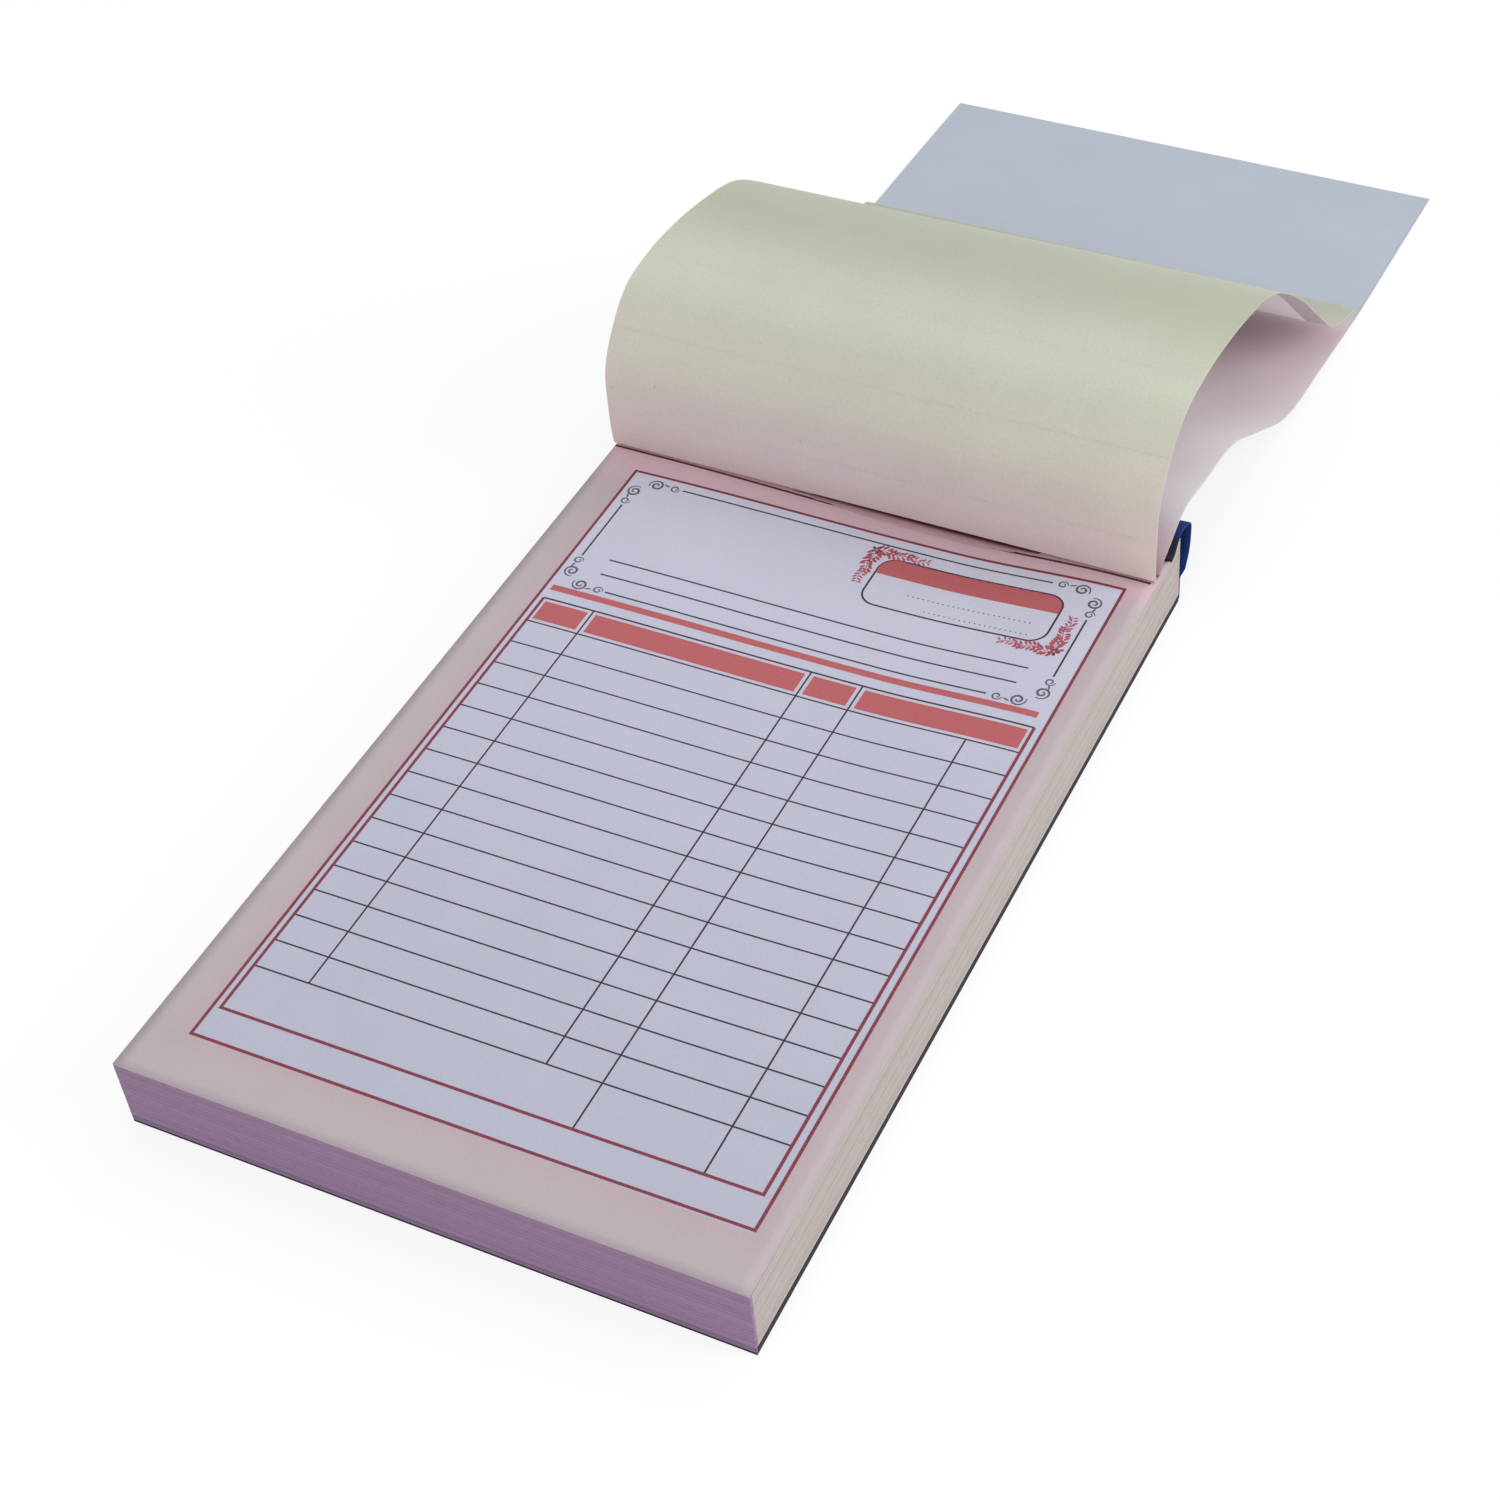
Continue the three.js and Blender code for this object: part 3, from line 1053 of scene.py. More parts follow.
@dataclass
class TurnedSheets:
    """A leaf or a bundle turned over the binding, in pieces that each bend across one hinge.

    A place on a sheet is written as on the closed pad: X and Y as on the top leaf, and a height that
    counts from the line of the hinges towards the side that faces up once the sheet lies behind.
    """

    joints: tuple[str, ...]
    bodies: tuple[str, ...]
    end_nodes: tuple[str, ...]
    root: tuple[Knot, ...]
    start_heading: float
    end_heading: float
    hinge_ease: tuple[float, ...]
    strip_ease: tuple[float, ...]
    end_share: float = 1.0
    root_squeeze: float = 1.0
    row: float = 1.5
    column: float = 3.0
    spare: float = 3.0
    side_spare: float = 6.0
    root_reach: float = 6.0
    margin_share: float = 0.14
    lift_off: tuple[float, float] = (0.1, 1.8)
    hinges: list[Vector] = field(init=False)
    skew: float = field(init=False)
    line: SheetLine = field(init=False)
    cuts: list[float] = field(init=False)

    def __post_init__(self) -> None:
        """Lay the sheet's line along the frame's strips, eased in at the hinges."""
        self.hinges = hinges_of(self.joints)
        axis = crease_axis()
        self.skew = math.atan2(-axis.y, axis.x)
        ends = [free_end(node) for node in self.end_nodes]
        tail = sum(ends, Vector()) / len(ends)
        stops = [self._seen_along(point) for point in [*self.hinges, tail]]
        stops[-1] = stops[-2].lerp(stops[-1], self.end_share)
        angles = [self._direction(a, b) for a, b in zip(stops, stops[1:])]
        between = [(a + b) / 2 for a, b in zip(angles, angles[1:])]
        turns = [self.start_heading, *between, self.end_heading]
        places = []
        for i, angle in enumerate(angles):
            places.append(self._eased(stops[i], turns[i], self.hinge_ease[i]))
            places.append(self._eased(stops[i].lerp(stops[i + 1], 0.5), angle, self.strip_ease[i]))
        places.append(self._eased(stops[-1], turns[-1], self.hinge_ease[-1]))
        headings = [self.start_heading, *self._headings_through(places), self.end_heading]
        sheet = [Knot(place.x, place.y, heading) for place, heading in zip(places, headings)]
        self.line = SheetLine([*self.root, *sheet], -self.root[0].y)
        self.cuts = self.line.knot_distances[len(self.root) + 1 :: 2]

    @staticmethod
    def _direction(start: Vector, stop: Vector) -> float:
        """Return the direction from one point to another in degrees."""
        return math.degrees(math.atan2(stop.y - start.y, stop.x - start.x))

    @staticmethod
    def _eased(stop: Vector, heading: float, ease: float) -> Vector:
        """Return a point moved by some ease, to the side that faces down behind the pad."""
        angle = math.radians(heading)
        return stop + Vector((math.sin(angle), -math.cos(angle))) * ease

    def _headings_through(self, places: Sequence[Vector]) -> list[float]:
        """Find the direction of a smooth line at its inner points.

        Args:
            places: The line's points.

        Returns:
            The direction of the circle through each inner point and its neighbours, in degrees.
        """
        made = []
        for before, here, after in zip(places, places[1:], places[2:]):
            back, ahead = (here - before).length, (after - here).length
            turned = self._direction(before, here) * ahead + self._direction(here, after) * back
            made.append(turned / (back + ahead))
        return made

    def _seen_along(self, point: Vector) -> Vector:
        """See a point in the view along the crease.

        Args:
            point: The point.

        Returns:
            Its distance behind the first hinge and its height above it.
        """
        offset = point - self.hinges[0]
        ahead = offset.x * math.sin(self.skew) + offset.y * math.cos(self.skew)
        return Vector((ahead, offset.z))

    def across_and_along(self, x: float, y: float) -> tuple[float, float]:
        """Measure a flat place from the crease.

        Args:
            x: Its X on the closed pad.
            y: Its Y on the closed pad.

        Returns:
            Its distance along the crease and its distance from it.
        """
        back = y - self.hinges[0].y
        across = x * math.cos(self.skew) - back * math.sin(self.skew)
        return across, -(x * math.sin(self.skew) + back * math.cos(self.skew))

    def flat(self, across: float, along: float) -> Vector:
        """Find a flat place by its distances.

        Args:
            across: Its distance along the crease.
            along: Its distance from the crease.

        Returns:
            The place on the closed pad.
        """
        x = across * math.cos(self.skew) - along * math.sin(self.skew)
        y = self.hinges[0].y - across * math.sin(self.skew) - along * math.cos(self.skew)
        return Vector((x, y, 0))

    def place(self, flat: Vector) -> Vector:
        """Find where a flat place lies once the sheet is turned.

        Args:
            flat: The flat place, with its height.

        Returns:
            The place on the turned sheet.
        """
        across, along = self.across_and_along(flat.x, flat.y)
        point, heading = self.line.at(along)
        squeeze = self.root_squeeze + (1 - self.root_squeeze) * smooth_step(along / self.root_reach)
        height = flat.z * squeeze
        y = point.x - math.sin(heading) * height
        z = point.y + math.cos(heading) * height
        return self._to_world(across, y, z)

    def _to_world(self, across: float, y: float, z: float) -> Vector:
        """Turn a place in the view along the crease into one in the part's frame.

        Args:
            across: Its distance along the crease.
            y: Its distance behind the first hinge.
            z: Its height above the first hinge.

        Returns:
            The place in the part's frame.
        """
        hinge = self.hinges[0]
        return Vector((
            across * math.cos(self.skew) + y * math.sin(self.skew),
            hinge.y - across * math.sin(self.skew) + y * math.cos(self.skew),
            hinge.z + z,
        ))

    def normal(self, flat: Vector) -> Vector:
        """Find which way a place of the turned sheet faces.

        Args:
            flat: The flat place.

        Returns:
            The direction that faces up from the sheet there.
        """
        _, along = self.across_and_along(flat.x, flat.y)
        _, heading = self.line.at(along)
        origin = self._to_world(0, 0, 0)
        return (self._to_world(0, -math.sin(heading), math.cos(heading)) - origin).normalized()

    @property
    def free_edge(self) -> float:
        """Return the flat Y at which the sheet's line ends."""
        return self.hinges[0].y - self.line.end / math.cos(self.skew)

    def spans(self) -> list[tuple[float, float]]:
        """Return each piece's first and last distance from the crease."""
        stops = [self.line.distances[0] - self.spare, *self.cuts[:-1], self.line.end + self.spare]
        return list(zip(stops, stops[1:]))

    def flat_patch(self, span: tuple[float, float], x_range: tuple[float, float],
                   y_range: tuple[float, float]) -> bmesh.types.BMesh:
        """Return a flat patch of sheet in rows that run along the crease.

        Args:
            span: Its first and last distance from the crease.
            x_range: The sheet's sides.
            y_range: The sheet's free and bound edge.

        Returns:
            The patch, at height 0.
        """
        low = max(span[0], self.hinges[0].y - y_range[1] - self.spare)
        high = span[1]
        reach = PAD.half_width + self.side_spare
        cells = (math.ceil(2 * reach / self.column), math.ceil((high - low) / self.row))
        bm = bmesh.new()
        add_bar(bm, -reach, low, reach, high, cells)
        map_vertices(bm, lambda co: self.flat(co.x, co.y))
        for point, normal in (
            ((x_range[0], 0, 0), (-1, 0, 0)), ((x_range[1], 0, 0), (1, 0, 0)),
            ((0, y_range[0], 0), (0, -1, 0)), ((0, y_range[1], 0), (0, 1, 0)),
        ):
            cut(bm, Vector(point), Vector(normal), drop=True)
        return bm

    def attach(self, piece: bpy.types.Object, index: int) -> None:
        """Work out the ends of a piece's hinge, which are left unused, and bake the piece's place into
        its mesh.

        Args:
            piece: The finished piece.
            index: Which span it fills, counted from the root.
        """
        if index == 0:
            hinge = self.hinges[0]
            start, end = (hinge + Vector((0, 0, lift)) for lift in self.lift_off)
        else:
            first, last = self.cuts[index - 1], self.cuts[index]
            margin = self.margin_share * (last - first)
            start, end = (
                self._to_world(0, *self.line.at(distance)[0])
                for distance in (first + margin, last - margin)
            )
        self.bodies[index + 1]
        start * MM
        end * MM
        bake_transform(piece)


@dataclass(frozen=True)
class Layer:
    """One sheet of a turned bundle: its heights from the hinge line and how its cut edges are off."""

    low: float
    high: float
    shift_x: float = 0.0
    shift_y: float = 0.0


def add_sheet_map(bm: bmesh.types.BMesh) -> None:
    """Give a flat mesh a UV map that holds its place on the closed pad in metres.

    Args:
        bm: The mesh.
    """
    layer = bm.loops.layers.uv.new("sheet")
    for face in bm.faces:
        for loop in face.loops:
            loop[layer].uv = (loop.vert.co.x * MM, loop.vert.co.y * MM)


ROOT_INSET = 0.05
RIM_SHARE = 0.1


def bend_layers(sheets: TurnedSheets, span: tuple[float, float], layers: Sequence[Layer],
                name: str, materials: Sequence[bpy.types.Material]) -> bpy.types.Object:
    """Make one piece of some sheets that lie on each other.

    Args:
        sheets: The line that they follow.
        span: The piece's first and last distance from the crease.
        layers: The sheets.
        name: The piece's name.
        materials: The finish of the side that faces up, and of the other side.

    Returns:
        The piece.
    """
    whole = bmesh.new()
    normals: list[Vector] = []
    for layer in layers:
        sides = (-PAD.half_width + layer.shift_x, PAD.half_width + layer.shift_x)
        ends = (sheets.free_edge + layer.shift_y, PAD.bound_edge - ROOT_INSET)
        bm = sheets.flat_patch(span, sides, ends)
        add_thickness(bm, layer.low, layer.high)
        add_sheet_map(bm)
        bmesh.ops.reverse_faces(bm, faces=bm.faces[:])
        for face in bm.faces:
            side = (face.calc_center_median().z - layer.low) / (layer.high - layer.low)
            rim = RIM_SHARE < side < 1 - RIM_SHARE
            face.smooth = not rim
            face.material_index = 1 if side < RIM_SHARE else 0
            sign = 1 if side > 0.5 else -1
            for loop in face.loops:
                normals.append(Vector() if rim else sheets.normal(loop.vert.co) * sign)
        map_vertices(bm, sheets.place)
        part = bpy.data.meshes.new(name)
        bm.to_mesh(part)
        bm.free()
        whole.from_mesh(part)
        bpy.data.meshes.remove(part)
    piece = finish_mesh(whole, name, materials)
    piece.data.normals_split_custom_set([normal[:] for normal in normals])
    return piece


# The printed form


class Ink(Enum):
    """The form's inks, each with its finish."""

    RULES = InkFinish("maroon_ink", "7d3142")
    BANDS = InkFinish("brick_red_ink", "b45c5f")
    LINES = InkFinish("dark_line_ink", "3a2233")
    FRAME = InkFinish("grey_line_ink", "37323f")
    ORNAMENT = InkFinish("ornament_ink", "5a5560")
    SPRIGS = InkFinish("sprig_ink", "a9505b")
    # Painted shadow: a dark red line along the crease, under the turned leaf.
    GUM = InkFinish("gum_line", "5a2430", thin=0.5)


def tapered(count: int, width: float, thin: float = 0.35) -> list[float]:
    """Return some widths that swell from a thin start and thin out again.

    Args:
        count: How many widths there are.
        width: The widest.
        thin: The share of it that is left at both ends.

    Returns:
        The widths.
    """
    swells = (math.sin(math.pi * (i + 1) / (count + 1)) for i in range(count))
    return [width * (thin + (1 - thin) * swell) for swell in swells]


@dataclass(frozen=True)
class Curl:
    """A spiral of a corner scroll. Its places are distances in from the frame's corner."""

    eye: tuple[float, float]
    outer: float
    inner: float
    turns: float
    width: float
    hand: int = 1
    begin: Optional[tuple[float, float]] = None
    count: int = 22

    def draw(self, bm: bmesh.types.BMesh, at: Callable[[float, float], Vector], way: int) -> None:
        """Draw the spiral from its outer end to its eye.

        Args:
            bm: The mesh of its ink.
            at: Gives the place at two distances in from the corner.
            way: 1 or -1, the way in which a spiral of hand 1 winds at this corner.
        """
        eye = at(*self.eye)
        start = 0.0
        if self.begin is not None:
            begin = at(*self.begin)
            start = math.atan2(begin.y - eye.y, begin.x - eye.x)
        points = []
        for i in range(self.count):
            share = i / (self.count - 1)
            radius = self.outer + (self.inner - self.outer) * share
            angle = start + way * self.hand * share * self.turns * math.tau
            points.append(eye + Vector((math.cos(angle) * radius, math.sin(angle) * radius, 0)))
        add_stroke(bm, points, tapered(len(points), self.width))


@dataclass(frozen=True)
class Sprig:
    """A small leafy sprig in two arms from a corner, in the manner of common print ornaments."""

    corner: tuple[float, float]
    toward_x: int
    toward_y: int
    arm_lengths: tuple[float, float] = (10.4, 9.6)
    steps: int = 13
    seed: int = 7
    sway: float = 0.25
    sway_rate: float = 1.1
    stem_width: float = 0.16
    leaf_length: float = 1.5
    leaf_shrink: float = 0.7
    leaf_lean: tuple[float, float] = (0.7, 1.1)
    leaf_reach: float = 0.75
    leaf_breadth: float = 0.42
    leaf_corners: int = 7
    blossom_shares: tuple[float, ...] = (0.0, 0.3, 0.62)
    blossom_aside: float = 0.9
    blossom_reach: float = 0.66
    blossom_shrink: float = 0.3
    petals: int = 5
    petal_size: tuple[float, float] = (1.5, 0.9)

    def draw(self, bm: bmesh.types.BMesh) -> None:
        """Draw the stems, the leaves in pairs along them and the blossoms between.

        Args:
            bm: The mesh of its ink.
        """
        chance = random.Random(self.seed + self.toward_x)
        corner = Vector((*self.corner, 0))
        arms = (Vector((self.toward_x, 0, 0)), Vector((0, self.toward_y, 0)))
        for arm, length in zip(arms, self.arm_lengths):
            side = Vector((-arm.y, arm.x, 0))
            stem = []
            for i in range(self.steps + 1):
                swayed = side * self.sway * math.sin(i * self.sway_rate)
                stem.append(corner + arm * (length * i / self.steps) + swayed)
            add_stroke(bm, stem, tapered(len(stem), self.stem_width))
            heading = math.atan2(arm.y, arm.x)
            for i, point in enumerate(stem[:-1]):
                size = self.leaf_length - self.leaf_shrink * i / self.steps
                for hand in (-1, 1):
                    lean = heading + hand * chance.uniform(*self.leaf_lean)
                    reach = Vector((math.cos(lean), math.sin(lean), 0)) * size * self.leaf_reach
                    add_oval(
                        bm, point + reach, size, size * self.leaf_breadth, lean, self.leaf_corners,
                    )
            for share in self.blossom_shares:
                centre = corner + (arm * length + side * self.blossom_aside) * share
                self._add_blossom(bm, centre, self.blossom_reach - self.blossom_shrink * share)

    def _add_blossom(self, bm: bmesh.types.BMesh, centre: Vector, reach: float) -> None:
        """Add a flat blossom.

        Args:
            bm: The mesh.
            centre: Its centre.
            reach: How far out its petals lie.
        """
        length, width = (share * reach for share in self.petal_size)
        for i in range(self.petals):
            angle = i * math.tau / self.petals
            petal = Vector((math.cos(angle), math.sin(angle), 0)) * reach
            add_oval(bm, centre + petal, length, width, angle)


@dataclass
class PrintedForm:
    """The ruled form: red border, framed header with a number box, and a table of blank rows."""

    left: float = -46.4
    right: float = 49.6
    bottom: float = -76.0
    top: float = 70.5
    border_line: float = 0.55
    table_left: float = -45.05
    table_right: float = 47.95
    table_top: float = 32.7
    table_bottom: float = -69.9
    header_bottom: float = 26.3
    row_pitch: float = 5.79
    row_count: int = 15
    columns: tuple[float, ...] = (-34.9, 7.3, 16.9)
    last_column: float = 38.4
    fine_line: float = 0.3
    cell_inset: float = 0.8
    thick_rule: tuple[float, float, float, float] = (-45.15, 35.0, 47.35, 36.45)
    frame_corners: tuple[float, float, float, float] = (-44.2, 37.85, 46.3, 68.2)
    level_gaps: tuple[float, float] = (8.7, 9.1)
    upright_gap: float = 7.5
    frame_line: float = 0.34
    curls: tuple[Curl, ...] = (
        Curl((7.2, 0.0), 0.95, 0.3, 1.25, 0.32), Curl((0.0, 6.1), 0.95, 0.3, 1.25, 0.32),
        Curl((3.5, 0.3), 1.5, 0.25, 1.6, 0.44, 1, (0.7, 1.5)),
        Curl((0.3, 3.1), 1.5, 0.25, 1.6, 0.44, -1, (1.5, 0.7)),
    )
    scroll_leaves: tuple[tuple[float, float, float, float, float], ...] = (
        (5.4, -0.3, 1.3, 0.0, 0.3), (-0.3, 4.7, 1.2, math.pi / 2, -0.3),
    )
    scroll_leaf_width: float = 0.35
    header_rules: tuple[tuple[float, float, float], ...] = ((-38.9, 41.5, 45.95), (-38.6, 41.0, 41.95))
    box_corners: tuple[float, float, float, float] = (6.6, 52.5, 41.3, 65.1)
    box_radius: float = 3.2
    box_corner_steps: int = 8
    box_band_bottom: float = 60.6
    box_line: float = 0.36
    dot_rows: tuple[tuple[float, float], ...] = ((14.6, 56.9), (18.9, 53.9))
    dots_end: float = 38.6
    dot_pitch: float = 0.95
    dot_size: float = 0.3
    dot_corners: int = 6
    sprigs: tuple[Sprig, ...] = (Sprig((4.4, 66.3), 1, -1), Sprig((44.0, 51.3), -1, 1))
    # A dark line of painted shadow along the crease.
    gum_line: float = 74.75
    gum_slope: float = math.radians(1.35)
    gum_width: float = 0.5
    gum_inset: float = 0.3
    gum_step: float = 3.96
    gum_points: int = 28
    sheet_skew: tuple[float, float] = (-0.003, 0.0062)
    inks: dict[Ink, bmesh.types.BMesh] = field(init=False)

    def __post_init__(self) -> None:
        """Draw the form flat."""
        self.inks = {ink: bmesh.new() for ink in Ink}
        self.draw_border()
        self.draw_table()
        self.draw_frame()
        self.draw_number_box()
        self.draw_gum_line()
        skewed = Matrix.Identity(4)
        skewed[0][1], skewed[1][0] = self.sheet_skew
        for bm in self.inks.values():
            bmesh.ops.transform(bm, matrix=skewed, verts=bm.verts)

    def bar(self, ink: Ink, x0: float, y0: float, x1: float, y1: float) -> None:
        """Print a rectangle between two corners."""
        add_bar(self.inks[ink], x0, y0, x1, y1)

    def level(self, ink: Ink, x0: float, x1: float, y: float, width: float) -> None:
        """Print a line across the sheet."""
        self.bar(ink, x0, y - width / 2, x1, y + width / 2)

    def upright(self, ink: Ink, x: float, y0: float, y1: float, width: float) -> None:
        """Print a line along the sheet."""
        self.bar(ink, x - width / 2, y0, x + width / 2, y1)

    def draw_border(self) -> None:
        """Print the red border and the thick rule under the header."""
        width = self.border_line
        for y in (self.bottom, self.top):
            self.level(Ink.RULES, self.left - width / 2, self.right + width / 2, y, width)
        for x in (self.left, self.right):
            self.upright(Ink.RULES, x, self.bottom + width / 2, self.top - width / 2, width)
        self.bar(Ink.BANDS, *self.thick_rule)

    def draw_table(self) -> None:
        """Print the table's border, its header cells, its rows and its columns."""
        width = self.border_line
        half = width / 2
        self.level(Ink.RULES, self.table_left - half, self.table_right + half, self.table_bottom, width)
        self.level(Ink.LINES, self.table_left, self.table_right, self.table_top, self.box_line)
        for x in (self.table_left, self.table_right):
            self.upright(Ink.RULES, x, self.table_bottom + half, self.table_top, width)
        rows = [self.header_bottom - i * self.row_pitch for i in range(self.row_count + 1)]
        inner = (self.table_left + half, self.table_right - half)
        for y in rows:
            self.level(Ink.LINES, *inner, y, self.fine_line)
        ends = (rows[-1], rows[-1], self.table_bottom + half)
        for x, low in zip(self.columns, ends):
            self.upright(Ink.LINES, x, low, self.table_top, self.fine_line)
        foot = self.table_bottom + half
        self.upright(Ink.LINES, self.last_column, foot, self.header_bottom, self.fine_line)
        stops = (self.table_left, *self.columns, self.table_right)
        for x0, x1 in zip(stops, stops[1:]):
            self.bar(
                Ink.BANDS, x0 + self.cell_inset, self.header_bottom + self.cell_inset,
                x1 - self.cell_inset, self.table_top - self.cell_inset,
            )

    def draw_frame(self) -> None:
        """Print the header's thin frame, broken at the corners by scrolls, and its two ruled lines."""
        x0, y0, x1, y1 = self.frame_corners
        width = self.frame_line
        for y in (y0, y1):
            self.level(Ink.FRAME, x0 + self.level_gaps[0], x1 - self.level_gaps[1], y, width)
        for x in (x0, x1):
            self.upright(Ink.FRAME, x, y0 + self.upright_gap, y1 - self.upright_gap, width)
        for start, stop, y in self.header_rules:
            self.level(Ink.FRAME, start, stop, y, width)
        for x, y, toward_x, toward_y in (
            (x0, y0, 1, 1), (x1, y0, -1, 1), (x0, y1, 1, -1), (x1, y1, -1, -1),
        ):
            self.draw_scroll(Vector((x, y, 0)), toward_x, toward_y)

    def draw_scroll(self, corner: Vector, toward_x: int, toward_y: int) -> None:
        """Print a corner scroll: a large and a small curl along each side, and a short leaf between.

        Args:
            corner: Where the frame's lines would meet.
            toward_x: 1 or -1, the side on which the frame lies.
            toward_y: 1 or -1, the same along the sheet.
        """
        bm = self.inks[Ink.ORNAMENT]
        way = toward_x * toward_y

        def at(x: float, y: float) -> Vector:
            """Return the place at two distances in from the corner."""
            return corner + Vector((x * toward_x, y * toward_y, 0))

        for curl in self.curls:
            curl.draw(bm, at, way)
        for x, y, length, turned, lean in self.scroll_leaves:
            add_oval(bm, at(x, y), length, self.scroll_leaf_width, turned + lean * way)

    def draw_gum_line(self) -> None:
        """Draw a dark line of painted shadow in the gap under the turned leaf."""
        slope = math.tan(self.gum_slope)
        points = []
        for i in range(self.gum_points):
            x = -PAD.half_width + self.gum_inset + i * self.gum_step
            points.append(Vector((x, self.gum_line - x * slope, 0)))
        add_stroke(self.inks[Ink.GUM], points, [self.gum_width] * len(points))

    def draw_number_box(self) -> None:
        """Print the rounded box with its red band, its two dotted lines and its two sprigs."""
        x0, y0, x1, y1 = self.box_corners
        radius = self.box_radius
        outline: list[Vector] = []
        for cx, cy, turn in (
            (x1 - radius, y1 - radius, 0.0), (x0 + radius, y1 - radius, 0.5),
            (x0 + radius, y0 + radius, 1.0), (x1 - radius, y0 + radius, 1.5),
        ):
            for i in range(self.box_corner_steps + 1):
                angle = (turn + i / self.box_corner_steps / 2) * math.pi
                outline.append(Vector((cx + radius * math.cos(angle), cy + radius * math.sin(angle), 0)))
        outline.append(outline[0])
        add_stroke(self.inks[Ink.LINES], outline, [self.box_line] * len(outline))
        band = self.inks[Ink.BANDS]
        corners = add_bar(band, x0, self.box_band_bottom, x1, y1)
        upper = [vert for vert in corners if vert.co.y > (self.box_band_bottom + y1) / 2]
        bmesh.ops.bevel(
            band, geom=upper, affect="VERTICES", offset=radius, segments=self.box_corner_steps - 1,
            profile=0.5, material=-1,
        )
        dots = self.inks[Ink.FRAME]
        for start, y in self.dot_rows:
            for i in range(round((self.dots_end - start) / self.dot_pitch)):
                place = Vector((start + i * self.dot_pitch, y, 0))
                add_oval(dots, place, self.dot_size, self.dot_size, 0.0, self.dot_corners)
        for sprig in self.sprigs:
            sprig.draw(self.inks[Ink.SPRIGS])

    def copy(self, ink: Ink) -> bmesh.types.BMesh:
        """Return a copy of one ink's flat shapes."""
        return self.inks[ink].copy()

    def free(self) -> None:
        """Drop the flat shapes."""
        for bm in self.inks.values():
            bm.free()


# The pad


